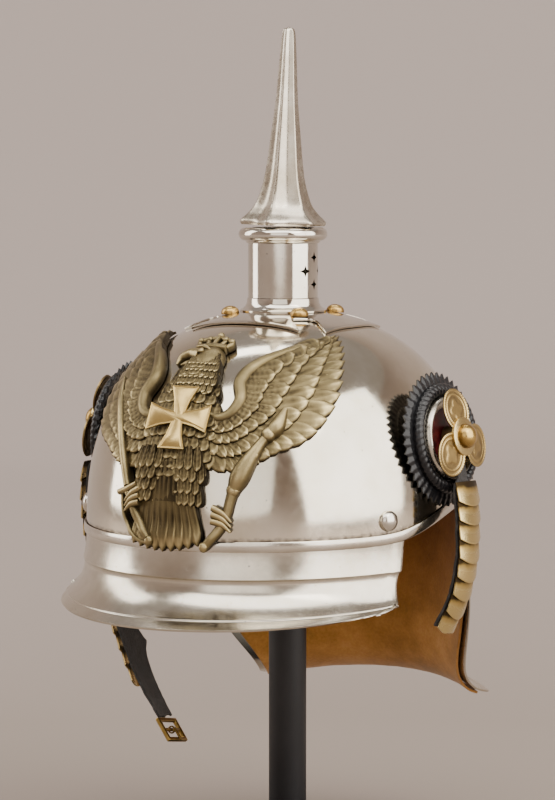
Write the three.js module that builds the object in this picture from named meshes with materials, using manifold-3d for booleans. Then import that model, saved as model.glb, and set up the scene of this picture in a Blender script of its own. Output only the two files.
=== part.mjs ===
// Cavalry helmet with a spike, an eagle plate and a neck guard, on a black display post.
// Millimetres, +Z up. The helmet faces -Y, and the origin is the middle of the stand's foot.
import * as THREE from 'three';
import { mergeVertices } from 'three/addons/utils/BufferGeometryUtils.js';
import loadManifold from 'manifold-3d';

const wasm = await loadManifold();
wasm.setup();

// Driving dimensions. Heights of the helmet's pieces are measured from its rim plane.
const RIM_HEIGHT = 175;
const AHEAD_OF_POST = 5;
const GAP = 0.3;
const STEEL = 1.2;

const SKULL = { halfWidth: 93, halfLength: 112, height: 104, power: 2.4, crownHole: 9 };
const SKULL_SPANS = { round: 54, up: 7 };

const RIM = { front: -0.5, rear: 15, sweepFrom: -42, sweepTo: 6, softness: 12 };
const BAND = { width: 5, thickness: 1 };

const VISOR = { topAngle: 69, edgeAngle: 62.5, cornerTurn: 4, cornerFrom: 0.86, round: 24, down: 16 };
const VISOR_PROFILE = [
  { line: 'top', out: -0.1, z: -1, endOut: -0.1, endZ: -1 },
  { line: 'wall', out: 0.5, z: -8, endOut: 0.2, endZ: -8 },
  { line: 'ridge', out: 2.3, z: -15.3, endOut: 1.1, endZ: -15.3 },
  { line: 'under the ridge', out: 1.6, z: -17.3, endOut: 0.8, endZ: -17.2 },
  { line: 'hollow', out: 2.1, z: -20.5, endOut: 1, endZ: -20 },
  { line: 'cove', out: 4.6, z: -25.2, endOut: 2.2, endZ: -24 },
  { line: 'cove foot', out: 9.4, z: -30, endOut: 4.5, endZ: -27.8 },
  { line: 'flange', out: 14.6, z: -33.4, endOut: 7, endZ: -30.8 },
  { line: 'edge', out: 20.5, z: -37, endOut: 9.6, endZ: -33 },
];

const NECK_SPANS = { round: 20, down: 11 };
const NECK_CORNER = { from: 0.88, inset: 4 };
const NECK_TOP = { fade: 6, reachLimit: 0.999 };
const NECK_PROFILE = [
  { z: 13.6, rearZ: 13.6, scale: 0.993, rearScale: 0.993, edgeY: 8 },
  { z: -10, rearZ: -10, scale: 0.984, rearScale: 0.975, edgeY: 26 },
  { z: -35, rearZ: -35, scale: 0.976, rearScale: 0.955, edgeY: 43 },
  { z: -58, rearZ: -56, scale: 0.97, rearScale: 0.945, edgeY: 60 },
  { z: -76, rearZ: -73, scale: 0.978, rearScale: 0.955, edgeY: 73 },
  { z: -87, rearZ: -83, scale: 1.01, rearScale: 1.0, edgeY: 83 },
  { z: -95, rearZ: -89, scale: 1.08, rearScale: 1.08, edgeY: 93 },
  { z: -99, rearZ: -91.5, scale: 1.19, rearScale: 1.19, edgeY: 103 },
];
const LINING = { thickness: 1.6, gap: 0.8, spans: 18, rows: 10, top: 0.02, bottom: 0.92, side: 0.95 };

const BASE_PLATE = { reach: 39.5, bow: 2.5, thickness: 1.2, lift: 0.5, bore: 12, round: 32, outward: 3 };
const BASE_SLOT = { width: 13.4, from: 32.5, length: 30, depth: 40 };
const BASE_COLLAR = { foot: 21, cove: 18.6, waist: 17.8, sink: 0.2, coveHeight: 3.5, top: 111.5 };
const STUD = { place: 19.4, radius: 4.5, height: 4, crownRadius: 350 };
const NECK_TUBE = { outer: 17.5, inner: 15.5, bottom: 111.8, top: 138.5 };
const VENT = { z: 125, reach: 6.7, size: 2.9, waist: 1.25, corners: 8, depth: 60 };
const RING = { outer: 22.3, inner: 15.5, bottom: 138.8, top: 146.6, steps: 5 };
const SPIKE = { bottom: 146.9, sides: 6, faceSpans: 4, hollow: 0.09, ridge: 0.985, turn: 37 };
const SPIKE_LEAN = { degrees: 1.75, angle: 29, lift: 0.1 };
const SPIKE_SECTIONS = [
  { z: 146.9, corner: 21.6 },
  { z: 149, corner: 22.2 },
  { z: 153, corner: 18 },
  { z: 158, corner: 14.3 },
  { z: 168, corner: 11 },
  { z: 189, corner: 8 },
  { z: 209, corner: 5.8 },
  { z: 230, corner: 4.4 },
  { z: 242, corner: 3.4 },
  { z: 245, corner: 2 },
];

const EAGLE = { tilt: 32, radius: 103, foot: 0.5, bandStep: 1.5, bandFrom: -47, bandTo: -53 };
const CROSS = { arm: 16, tip: 7, waist: 3, thickness: 1.2, stand: 6.2, place: new THREE.Vector2(1, -2) };

const RIVET = { angle: 63.5, z: 9, radius: 5, height: 3.6 };

const COCKADE = { x: 91.2, y: -7, z: 45, up: 9, forward: 7, teeth: 44, dish: 2 };
const COCKADE_RADII = {
  tip: 33, root: 30.6, flangeInner: 26.2, ropeOuter: 27.2, ropeCrest: 24.9, ropeInner: 20.6,
  silverCrest: 18.9, silverInner: 15.4, hub: 9,
};
const COCKADE_STACK = {
  hub: 2.5, flange: 1.2, floor: 1.4, ropeSide: 2.7, rope: 5.4, ropeInside: 4.3,
  silverSide: 4.8, silver: 6.4, red: 3.2, trefoil: 11.8,
};
const TREFOIL = { lobes: 3, droop: 6, lobeRadius: 10.2, lobePlace: 13.5, turn: 97, thickness: 1.4 };
const TREFOIL_STEM = 6;
const BOSS = { radius: 6, height: 5.5 };

const STRAP = { thickness: 1.6, tabWidth: 10, tabLength: 13, topWidth: 21, endWidth: 15, spans: 14 };
const SCALE = { pitch: 9, length: 12, thickness: 0.8, bulge: 2.2, tip: 3, slope: 0.128, across: 4 };
const SCALE_WIDTH = { top: 23, end: 16 };
const STRAP_RIGHT = [
  { x: -100.5, y: -8, z: 37 },
  { x: -102.5, y: -8.5, z: 27 },
  { x: -104.2, y: -9, z: 16 },
  { x: -105, y: -8, z: 2 },
  { x: -104.4, y: -5, z: -16 },
  { x: -101, y: -1, z: -38 },
  { x: -95, y: 2, z: -58 },
  { x: -86, y: 3, z: -82 },
  { x: -78, y: 2, z: -96 },
  { x: -69, y: 0, z: -107.5 },
];
const STRAP_LEFT = [
  { x: 100.5, y: -8, z: 37 },
  { x: 102.5, y: -8.5, z: 27 },
  { x: 104.2, y: -9, z: 16 },
  { x: 105, y: -9.5, z: 2 },
  { x: 104.6, y: -10, z: -14 },
  { x: 100.6, y: -11, z: -32 },
  { x: 93.5, y: -13, z: -47 },
];
const SCALE_COUNT = { left: 8, right: 13 };
const SCALE_START = 12.5;
const STRAP_STUD = { fromEnd: 14, radius: 3, height: 2.6 };
const BUCKLE = { width: 19, length: 14, rod: 2.2, barRadius: 0.9 };
const TONGUE = { eyeInner: 1.3, eyeOuter: 2.1, width: 1.8, thickness: 1.1, reach: 7.2 };

const STAND = { footRadius: 95, footHeight: 10, footEdge: 1.5, postRadius: 9.5 };
const STAND_HEAD = { radius: 34, drop: 9, clearance: 0.9 };

const SEGMENTS = { foot: 48, ring: 32, tube: 24, lobe: 20, boss: 16, stud: 12, bar: 8 };

const STEEL_LOOK = { color: 0xc9c6bd, roughness: 0.22, metalness: 1 };
const BRASS_LOOK = { color: 0xb39a55, roughness: 0.35, metalness: 1 };
const BRONZE_LOOK = { color: 0x7d6a45, roughness: 0.45, metalness: 1 };
const GILT_LOOK = { color: 0xb6924a, roughness: 0.4, metalness: 1 };
const BLACK_LOOK = { color: 0x17181b, roughness: 0.45, metalness: 0 };
const RED_LOOK = { color: 0x5d1418, roughness: 0.6, metalness: 0 };
const SUEDE_LOOK = { color: 0x9c6a2c, roughness: 0.9, metalness: 0 };
const LEATHER_LOOK = { color: 0x201d1b, roughness: 0.7, metalness: 0 };
const STAND_LOOK = { color: 0x1b1a1c, roughness: 0.55, metalness: 0 };

const helmet = new THREE.Group();
helmet.position.set(0, -AHEAD_OF_POST, RIM_HEIGHT);
const part = new THREE.Group();
part.add(helmet);

function addPiece(group, name, geometry, look) {
  const mesh = new THREE.Mesh(geometry, new THREE.MeshStandardMaterial(look));
  mesh.name = name;
  group.add(mesh);
  return mesh;
}

function radians(degrees) {
  return THREE.MathUtils.degToRad(degrees);
}

// A closed solid from points and triangles, turned so that its faces point out.
function solid(points, triangles) {
  const corner = (i) => points[triangles[i]];
  let volume = 0;
  for (let i = 0; i < triangles.length; i += 3) {
    volume += corner(i).dot(corner(i + 1).clone().cross(corner(i + 2)));
  }
  const index = volume < 0 ? triangles.slice().reverse() : triangles;
  const geometry = new THREE.BufferGeometry().setFromPoints(points);
  geometry.setIndex(index);
  return geometry;
}

// A wall between two grids of points, both indexed [row][column]. A closed wall's last row meets its first.
function wall(outer, inner, closed = false) {
  const rows = outer.length;
  const columns = outer[0].length;
  const triangles = [];
  const id = (side, row, column) => (side * rows + (row % rows)) * columns + column;
  const quad = (a, b, c, d) => triangles.push(a, b, c, a, c, d);
  const spans = closed ? rows : rows - 1;
  for (let row = 0; row < spans; row++) {
    for (let column = 0; column < columns - 1; column++) {
      quad(id(0, row, column), id(0, row + 1, column), id(0, row + 1, column + 1), id(0, row, column + 1));
      quad(id(1, row, column), id(1, row, column + 1), id(1, row + 1, column + 1), id(1, row + 1, column));
    }
    const last = columns - 1;
    quad(id(0, row, 0), id(1, row, 0), id(1, row + 1, 0), id(0, row + 1, 0));
    quad(id(0, row, last), id(0, row + 1, last), id(1, row + 1, last), id(1, row, last));
  }
  for (let column = 0; column < columns - 1 && !closed; column++) {
    const end = rows - 1;
    quad(id(0, 0, column), id(0, 0, column + 1), id(1, 0, column + 1), id(1, 0, column));
    quad(id(0, end, column), id(1, end, column), id(1, end, column + 1), id(0, end, column + 1));
  }
  return solid([...outer.flat(), ...inner.flat()], triangles);
}

// A grid of points on a surface(u, v), moved along the surface's normal.
function grid(surface, spansU, spansV, offset, closed) {
  const step = 1e-3;
  const rows = [];
  for (let i = 0; i < (closed ? spansU : spansU + 1); i++) {
    const row = [];
    for (let j = 0; j <= spansV; j++) {
      const u = i / spansU;
      const v = j / spansV;
      const alongU = surface(u + step, v).sub(surface(u - step, v));
      const alongV = surface(u, Math.min(v + step, 1)).sub(surface(u, Math.max(v - step, 0)));
      const normal = alongU.cross(alongV).normalize();
      row.push(surface(u, v).addScaledVector(normal, offset));
    }
    rows.push(row);
  }
  return rows;
}

function skin(surface, spansU, spansV, from, to, closed = false) {
  const outer = grid(surface, spansU, spansV, from, closed);
  const inner = grid(surface, spansU, spansV, to, closed);
  return wall(outer, inner, closed);
}

// A smooth function through a table's rows, read by the row's place from 0 to 1.
function along(table, column) {
  const heights = table.map((row, i) => new THREE.Vector3(i, row[column], 0));
  const curve = new THREE.CatmullRomCurve3(heights, false, 'centripetal');
  return (place) => curve.getPoint(THREE.MathUtils.clamp(place, 0, 1)).y;
}

// Booleans on closed meshes.
function toManifold(geometry) {
  const bare = geometry.clone();
  bare.deleteAttribute('normal');
  bare.deleteAttribute('uv');
  const merged = mergeVertices(bare, 1e-4);
  const vertProperties = new Float32Array(merged.attributes.position.array);
  const triVerts = new Uint32Array(merged.index.array);
  return new wasm.Manifold(new wasm.Mesh({ numProp: 3, vertProperties, triVerts }));
}

function fromManifold(body) {
  const mesh = body.getMesh();
  const geometry = new THREE.BufferGeometry();
  geometry.setAttribute('position', new THREE.BufferAttribute(new Float32Array(mesh.vertProperties), 3));
  geometry.setIndex(new THREE.BufferAttribute(new Uint32Array(mesh.triVerts), 1));
  return geometry;
}

function join(...geometries) {
  return fromManifold(geometries.map(toManifold).reduce((whole, piece) => whole.add(piece)));
}

function cut(geometry, ...tools) {
  const body = tools.map(toManifold).reduce((whole, tool) => whole.subtract(tool), toManifold(geometry));
  return fromManifold(body);
}

// A turned piece about +Z from rows of [radius, height], closed on itself or on the axis.
function turned(profile, segments) {
  const points = profile.map(([radius, height]) => new THREE.Vector2(radius, height));
  const geometry = new THREE.LatheGeometry(points, segments);
  geometry.rotateX(Math.PI / 2);
  geometry.deleteAttribute('normal');
  geometry.deleteAttribute('uv');
  const merged = mergeVertices(geometry, 1e-4);
  const position = merged.attributes.position;
  const corners = [];
  for (let i = 0; i < position.count; i++) {
    corners.push(new THREE.Vector3().fromBufferAttribute(position, i));
  }
  const all = Array.from(merged.index.array);
  const kept = [];
  for (let i = 0; i < all.length; i += 3) {
    const [a, b, c] = all.slice(i, i + 3);
    if (a !== b && b !== c && c !== a) {
      kept.push(a, b, c);
    }
  }
  return solid(corners, kept);
}

// A dome with a flat foot, as a rivet, stud or boss head has.
function domeHead(radius, height, segments = SEGMENTS.stud) {
  const profile = [[0, 0]];
  const steps = 4;
  for (let i = 0; i <= steps; i++) {
    const angle = (i / steps) * Math.PI / 2;
    profile.push([i === steps ? 0 : radius * Math.cos(angle), height * Math.sin(angle)]);
  }
  return turned(profile, segments);
}

// The skull's surface along a direction, offset outwards.
function skullAlong(direction, offset) {
  const { halfWidth, halfLength, height, power } = SKULL;
  const flat = Math.hypot(direction.x, direction.y);
  const reach = (flat ** power + Math.abs(direction.z) ** power) ** (-1 / power);
  return new THREE.Vector3(
    (halfWidth + offset) * reach * direction.x,
    (halfLength + offset) * reach * direction.y,
    (height + offset) * reach * direction.z,
  );
}

// The skull's surface at an angle from the front and a height above the rim plane.
function skullAt(angle, z, offset) {
  const share = Math.abs(z) / SKULL.height;
  const scale = (1 - share ** SKULL.power) ** (1 / SKULL.power);
  return new THREE.Vector3(
    (SKULL.halfWidth + offset) * scale * Math.sin(angle),
    -(SKULL.halfLength + offset) * scale * Math.cos(angle),
    z,
  );
}

function skullNormal(angle, z) {
  const step = 1e-3;
  const across = skullAt(angle + step, z, 0).sub(skullAt(angle - step, z, 0));
  const up = skullAt(angle, z + step, 0).sub(skullAt(angle, z - step, 0));
  return across.cross(up).normalize();
}

// The skull's lower edge: level over the visor, up behind it, and level again round the back.
function rimEdge(angle) {
  const y = -SKULL.halfLength * Math.cos(angle);
  const ramp = (d) => (d + Math.hypot(d, RIM.softness)) / 2;
  const rise = (ramp(y - RIM.sweepFrom) - ramp(y - RIM.sweepTo)) / (RIM.sweepTo - RIM.sweepFrom);
  return RIM.front + (RIM.rear - RIM.front) * THREE.MathUtils.clamp(rise, 0, 1);
}

// Skull
function skullGrid(inset) {
  const rows = [];
  const { halfWidth, height, power, crownHole } = SKULL;
  for (let i = 0; i < SKULL_SPANS.round; i++) {
    const angle = (i / SKULL_SPANS.round) * 2 * Math.PI;
    const low = rimEdge(angle) / height;
    const lowSlope = Math.atan(Math.sign(low) * ((Math.abs(low) ** -power - 1) ** (-1 / power)));
    const highSlope = Math.atan(halfWidth / crownHole);
    const row = [];
    for (let j = 0; j <= SKULL_SPANS.up; j++) {
      const slope = lowSlope + (highSlope - lowSlope) * (j / SKULL_SPANS.up);
      const flat = Math.cos(slope);
      const direction = new THREE.Vector3(flat * Math.sin(angle), -flat * Math.cos(angle), Math.sin(slope));
      const point = skullAlong(direction, -inset);
      if (j === 0) {
        point.z = rimEdge(angle);
      }
      row.push(point);
    }
    rows.push(row);
  }
  return rows;
}
addPiece(helmet, 'skull', wall(skullGrid(0), skullGrid(STEEL), true), STEEL_LOOK);

// Rim band, a strip over the joint of the skull with the visor and the neck guard
function bandGrid(offset) {
  const rows = [];
  for (let i = 0; i < SKULL_SPANS.round; i++) {
    const angle = (i / SKULL_SPANS.round) * 2 * Math.PI;
    const middle = rimEdge(angle);
    const lower = skullAt(angle, Math.max(middle - BAND.width / 2, 0), offset);
    lower.z = middle - BAND.width / 2;
    rows.push([lower, skullAt(angle, middle + BAND.width / 2, offset)]);
  }
  return rows;
}
const bandGeometry = wall(bandGrid(GAP + BAND.thickness), bandGrid(GAP), true);
addPiece(helmet, 'rim_band', bandGeometry, STEEL_LOOK);

// Visor
const visorOut = along(VISOR_PROFILE, 'out');
const visorZ = along(VISOR_PROFILE, 'z');
const visorEndOut = along(VISOR_PROFILE, 'endOut');
const visorEndZ = along(VISOR_PROFILE, 'endZ');
function visorSurface(u, v) {
  const side = 2 * u - 1;
  const cornerShare = Math.max(0, v - VISOR.cornerFrom) / (1 - VISOR.cornerFrom);
  const corner = VISOR.edgeAngle - VISOR.cornerTurn * cornerShare ** 2;
  const end = THREE.MathUtils.lerp(VISOR.topAngle, corner, v);
  const angle = radians(end * side);
  const blend = side ** 2;
  const out = THREE.MathUtils.lerp(visorOut(v), visorEndOut(v), blend);
  const z = THREE.MathUtils.lerp(visorZ(v), visorEndZ(v), blend);
  const point = skullAt(angle, 0, out);
  point.z = z;
  return point;
}
addPiece(helmet, 'visor', skin(visorSurface, VISOR.round, VISOR.down, 0, STEEL), STEEL_LOOK);

// Neck guard and the leather skin inside it
const neckZ = along(NECK_PROFILE, 'z');
const neckScale = along(NECK_PROFILE, 'scale');
const neckRear = along(NECK_PROFILE, 'rearScale');
const neckRearZ = along(NECK_PROFILE, 'rearZ');
const neckEdge = along(NECK_PROFILE, 'edgeY');
function neckSurface(u, v) {
  const side = 2 * u - 1;
  const cornerShare = Math.max(0, v - NECK_CORNER.from) / (1 - NECK_CORNER.from);
  const inset = NECK_CORNER.inset * cornerShare ** 2;
  const sideScale = neckScale(v);
  const reach = Math.min((neckEdge(v) + inset) / (SKULL.halfLength * sideScale), NECK_TOP.reachLimit);
  const sweep = Math.acos(reach);
  const angle = Math.PI - sweep * side;
  const scale = THREE.MathUtils.lerp(neckRear(v), sideScale, side ** 2);
  const rimDrop = (RIM.rear - rimEdge(angle)) * (1 - v) ** NECK_TOP.fade;
  return new THREE.Vector3(
    SKULL.halfWidth * scale * Math.sin(angle),
    -SKULL.halfLength * scale * Math.cos(angle),
    THREE.MathUtils.lerp(neckRearZ(v), neckZ(v), side ** 2) - rimDrop,
  );
}
addPiece(helmet, 'neck_guard', skin(neckSurface, NECK_SPANS.round, NECK_SPANS.down, 0, -STEEL), STEEL_LOOK);

function liningSurface(u, v) {
  const side = (2 * u - 1) * LINING.side;
  return neckSurface((side + 1) / 2, THREE.MathUtils.lerp(LINING.top, LINING.bottom, v));
}
const liningFrom = -STEEL - LINING.gap;
const liningTo = liningFrom - LINING.thickness;
const liningSkin = skin(liningSurface, LINING.spans, LINING.rows, liningFrom, liningTo);
addPiece(helmet, 'neck_lining', liningSkin, SUEDE_LOOK);

// Spike base: a rounded square on the crown with slots on its diagonals and a coved collar
function basePlateGrid(offset) {
  const rows = [];
  for (let i = 0; i < BASE_PLATE.round; i++) {
    const angle = (i / BASE_PLATE.round) * 2 * Math.PI;
    const square = BASE_PLATE.reach / Math.max(Math.abs(Math.cos(angle)), Math.abs(Math.sin(angle)));
    const bow = BASE_PLATE.bow * Math.cos(2 * angle) ** 2;
    const row = [];
    for (let j = 0; j <= BASE_PLATE.outward; j++) {
      const radius = THREE.MathUtils.lerp(BASE_PLATE.bore, square + bow, j / BASE_PLATE.outward);
      const x = radius * Math.sin(angle);
      const y = -radius * Math.cos(angle);
      const share = Math.hypot(x / SKULL.halfWidth, y / SKULL.halfLength);
      const z = (SKULL.height + offset) * (1 - share ** SKULL.power) ** (1 / SKULL.power);
      row.push(new THREE.Vector3(x, y, z));
    }
    rows.push(row);
  }
  return rows;
}
function slotTool(turn) {
  const slot = new THREE.BoxGeometry(BASE_SLOT.width, BASE_SLOT.length, BASE_SLOT.depth);
  slot.translate(0, -BASE_SLOT.from - BASE_SLOT.length / 2, SKULL.height);
  return slot.rotateZ(turn);
}
const plateTop = basePlateGrid(BASE_PLATE.lift + BASE_PLATE.thickness);
const plate = wall(plateTop, basePlateGrid(BASE_PLATE.lift), true);
const slots = [45, 135, 225, 315].map((turn) => slotTool(radians(turn)));
const collarFoot = SKULL.height + BASE_PLATE.lift - BASE_COLLAR.sink;
const collar = turned([
  [BASE_PLATE.bore, collarFoot],
  [BASE_COLLAR.foot, collarFoot],
  [BASE_COLLAR.cove, collarFoot + BASE_COLLAR.coveHeight],
  [BASE_COLLAR.waist, BASE_COLLAR.top],
  [BASE_PLATE.bore, BASE_COLLAR.top],
  [BASE_PLATE.bore, collarFoot],
], SEGMENTS.tube);
addPiece(helmet, 'spike_base', join(cut(plate, ...slots), collar), STEEL_LOOK);

// Brass studs through the spike base
[[1, -1], [-1, -1], [-1, 1], [1, 1]].forEach(([sideX, sideY], i) => {
  const x = sideX * STUD.place;
  const y = sideY * STUD.place;
  const share = Math.hypot(x / SKULL.halfWidth, y / SKULL.halfLength);
  const z = SKULL.height * (1 - share ** SKULL.power) ** (1 / SKULL.power);
  const stud = addPiece(helmet, `base_stud_${i + 1}`, domeHead(STUD.radius, STUD.height), BRASS_LOOK);
  const outward = new THREE.Vector3(x, y, STUD.crownRadius).normalize();
  stud.quaternion.setFromUnitVectors(new THREE.Vector3(0, 0, 1), outward);
  stud.position.set(x, y, z + BASE_PLATE.lift + BASE_PLATE.thickness + GAP);
});

// Spike neck: a tube with two groups of four star-shaped vents, and the ring above it
function starTool(y, z) {
  const star = new THREE.Shape();
  for (let i = 0; i < VENT.corners; i++) {
    const radius = i % 2 === 0 ? VENT.size : VENT.waist;
    const angle = (i / VENT.corners) * 2 * Math.PI;
    star[i === 0 ? 'moveTo' : 'lineTo'](radius * Math.cos(angle), radius * Math.sin(angle));
  }
  const tool = new THREE.ExtrudeGeometry(star, { depth: VENT.depth, bevelEnabled: false });
  tool.translate(0, 0, -VENT.depth / 2);
  tool.rotateY(Math.PI / 2);
  return tool.translate(0, y, z);
}
const tube = turned([
  [NECK_TUBE.inner, NECK_TUBE.bottom],
  [NECK_TUBE.outer, NECK_TUBE.bottom],
  [NECK_TUBE.outer, NECK_TUBE.top],
  [NECK_TUBE.inner, NECK_TUBE.top],
  [NECK_TUBE.inner, NECK_TUBE.bottom],
], SEGMENTS.tube);
const vents = [[0, 1], [0, -1], [1, 0], [-1, 0]].map(([acrossY, up]) => {
  return starTool(acrossY * VENT.reach, VENT.z + up * VENT.reach);
});
addPiece(helmet, 'spike_neck', cut(tube, ...vents), STEEL_LOOK);

const ringMiddle = (RING.bottom + RING.top) / 2;
const ringHalf = (RING.top - RING.bottom) / 2;
const ringProfile = [[RING.inner, RING.bottom]];
for (let i = 0; i <= RING.steps; i++) {
  const angle = (i / RING.steps - 0.5) * Math.PI;
  const radius = RING.outer - ringHalf + ringHalf * Math.cos(angle);
  ringProfile.push([radius, ringMiddle + ringHalf * Math.sin(angle)]);
}
ringProfile.push([RING.inner, RING.top], [RING.inner, RING.bottom]);
addPiece(helmet, 'spike_collar', turned(ringProfile, SEGMENTS.tube), STEEL_LOOK);

// Spike: six hollow faces between blunt ridges, drawn up to a rounded tip
function spikeRing(section) {
  const ring = [];
  for (let side = 0; side < SPIKE.sides; side++) {
    for (let step = 0; step < SPIKE.faceSpans; step++) {
      const share = step / SPIKE.faceSpans;
      const half = Math.PI / SPIKE.sides;
      const angle = (side + share) * 2 * half;
      const flat = Math.cos(half) / Math.cos((share - 0.5) * 2 * half);
      const hollow = 1 - SPIKE.hollow * Math.sin(share * Math.PI) ** 2;
      const radius = section.corner * (share === 0 ? SPIKE.ridge : flat * hollow);
      const height = section.z - SPIKE.bottom;
      ring.push(new THREE.Vector3(radius * Math.sin(angle), -radius * Math.cos(angle), height));
    }
  }
  return ring;
}
function loft(rings) {
  const count = rings[0].length;
  const points = rings.flat();
  const triangles = [];
  for (let r = 0; r < rings.length - 1; r++) {
    for (let i = 0; i < count; i++) {
      const next = (i + 1) % count;
      const a = r * count + i;
      const b = r * count + next;
      triangles.push(a, b, b + count, a, b + count, a + count);
    }
  }
  [[0, true], [rings.length - 1, false]].forEach(([r, bottom]) => {
    const middle = rings[r].reduce((sum, point) => sum.add(point), new THREE.Vector3()).divideScalar(count);
    points.push(middle);
    const centre = points.length - 1;
    for (let i = 0; i < count; i++) {
      const a = r * count + i;
      const b = r * count + (i + 1) % count;
      triangles.push(...(bottom ? [b, a, centre] : [a, b, centre]));
    }
  });
  return solid(points, triangles);
}
const spike = addPiece(helmet, 'spike', loft(SPIKE_SECTIONS.map(spikeRing)), STEEL_LOOK);
const leanWay = radians(SPIKE_LEAN.angle);
const leanBy = radians(SPIKE_LEAN.degrees);
const leanAxis = new THREE.Vector3(-Math.sin(leanWay), Math.cos(leanWay), 0);
const lean = new THREE.Quaternion().setFromAxisAngle(leanAxis, leanBy);
const face = radians(SPIKE.turn - 180 / SPIKE.sides);
const turn = new THREE.Quaternion().setFromAxisAngle(new THREE.Vector3(0, 0, 1), face);
spike.quaternion.copy(lean).multiply(turn);
spike.position.z = SPIKE.bottom + SPIKE_SECTIONS[0].corner * Math.sin(leanBy) + SPIKE_LEAN.lift;

// Eagle plate. Its drawing is flat, in millimetres from the breast, and is laid on the skull.
function onSkull(across, up, offset) {
  const distance = Math.hypot(across, up) / EAGLE.radius;
  const heading = Math.atan2(across, up);
  const tilt = radians(EAGLE.tilt);
  const middle = new THREE.Vector3(0, -Math.cos(tilt), Math.sin(tilt));
  const upward = new THREE.Vector3(0, Math.sin(tilt), Math.cos(tilt));
  const side = new THREE.Vector3(1, 0, 0);
  const direction = middle.multiplyScalar(Math.cos(distance));
  direction.addScaledVector(side, Math.sin(distance) * Math.sin(heading));
  direction.addScaledVector(upward, Math.sin(distance) * Math.cos(heading));
  return skullAlong(direction, offset);
}
function curve2(points) {
  const knots = points.map(([across, up]) => new THREE.Vector3(across, up, 0));
  return new THREE.CatmullRomCurve3(knots, false, 'centripetal');
}
function eagleFoot(up) {
  return EAGLE.foot + EAGLE.bandStep * THREE.MathUtils.smoothstep(-up, -EAGLE.bandFrom, -EAGLE.bandTo);
}
// A strip of the casting between two edges, with scalloped feather tips along its second edge.
function strip(edgeA, edgeB, { spans, across, rise, crown, feathers = 0, scallop = 0 }) {
  const first = curve2(edgeA);
  const second = curve2(edgeB);
  const point = (u, v, top) => {
    const a = first.getPoint(u);
    const b = second.getPoint(u);
    const tip = scallop * Math.abs(Math.sin(u * feathers * Math.PI)) / Math.max(a.distanceTo(b), 1);
    const flat = a.clone().lerp(b, v * (1 + tip));
    const height = rise + crown * Math.sin(v * Math.PI);
    return onSkull(flat.x, flat.y, eagleFoot(flat.y) + (top ? height : 0));
  };
  const rows = (top) => Array.from({ length: spans + 1 }, (_, i) => {
    return Array.from({ length: across + 1 }, (__, j) => point(i / spans, j / across, top));
  });
  return wall(rows(true), rows(false));
}
// Each edge runs through a few [across, up] points of the drawing.
const mirrored = (edge) => edge.map(([across, up]) => [-across, up]);
const WING_TOP = [[9, 8], [22, 13], [26, 28], [36, 42], [46, 62], [51, 70]];
const WING_TIPS = [[10, -22], [37, -20], [53, -7], [66, 6], [70, 28], [55, 70]];
const BODY_SIDE = [[8, 27], [15, 12], [19, -4], [17, -22], [20, -42], [24, -56]];
const HEAD_FRONT = [[-9, 24], [-12, 31], [-8, 37], [-7, 45]];
const HEAD_BACK = [[10, 24], [12, 31], [10, 37], [12, 45]];
const SABRE_OUTER = [[-53, 26], [-39, -2], [-30, -33], [-13, -57]];
const SABRE_INNER = [[-49, 26], [-34, -2], [-24, -32], [-8, -54]];
const SCEPTRE_OUTER = [[51, 12], [47, -4], [40, -22], [34, -46], [25, -57]];
const SCEPTRE_INNER = [[46, 11], [40, -6], [32, -22], [27, -45], [19, -54]];
const wingShape = { spans: 14, across: 3, rise: 2, crown: 1.2, feathers: 12, scallop: 2 };
const eagle = join(
  strip(WING_TOP, WING_TIPS, wingShape),
  strip(mirrored(WING_TOP), mirrored(WING_TIPS), wingShape),
  strip(mirrored(BODY_SIDE), BODY_SIDE, { spans: 10, across: 4, rise: 1.5, crown: 3.6 }),
  strip(HEAD_FRONT, HEAD_BACK, { spans: 4, across: 3, rise: 1.5, crown: 4 }),
  strip(SABRE_OUTER, SABRE_INNER, { spans: 9, across: 1, rise: 3.6, crown: 0 }),
  strip(SCEPTRE_OUTER, SCEPTRE_INNER, { spans: 9, across: 2, rise: 3, crown: 2 }),
);
addPiece(helmet, 'eagle_plate', eagle, BRONZE_LOOK);

// Cross on the eagle's breast: four arms that widen outwards, one flat gilt plate
const crossShape = new THREE.Shape();
for (let arm = 0; arm < 4; arm++) {
  const spot = (x, y) => new THREE.Vector2(x, y).rotateAround(new THREE.Vector2(), arm * Math.PI / 2);
  const corners = [
    spot(CROSS.waist, -CROSS.waist),
    spot(CROSS.arm, -CROSS.tip),
    spot(CROSS.arm, CROSS.tip),
  ];
  corners.forEach((corner, i) => crossShape[arm + i === 0 ? 'moveTo' : 'lineTo'](corner.x, corner.y));
}
const crossBody = new THREE.ExtrudeGeometry(crossShape, { depth: CROSS.thickness, bevelEnabled: false });
const cross = addPiece(helmet, 'eagle_cross', crossBody, GILT_LOOK);
const crossSeat = onSkull(CROSS.place.x, CROSS.place.y, CROSS.stand);
const crossUp = onSkull(CROSS.place.x, CROSS.place.y + 1, CROSS.stand).sub(crossSeat).normalize();
const crossSide = onSkull(CROSS.place.x + 1, CROSS.place.y, CROSS.stand).sub(crossSeat).normalize();
const crossOut = crossSide.clone().cross(crossUp);
cross.quaternion.setFromRotationMatrix(new THREE.Matrix4().makeBasis(crossSide, crossUp, crossOut));
cross.position.copy(crossSeat);

// Rivets behind the visor's ends
for (const [side, name] of [[1, 'side_rivet_left'], [-1, 'side_rivet_right']]) {
  const angle = side * radians(RIVET.angle);
  const rivet = addPiece(helmet, name, domeHead(RIVET.radius, RIVET.height), STEEL_LOOK);
  const outward = skullNormal(angle, RIVET.z);
  rivet.quaternion.setFromUnitVectors(new THREE.Vector3(0, 0, 1), outward);
  rivet.position.copy(skullAt(angle, RIVET.z, 0).addScaledVector(outward, GAP));
}

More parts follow.
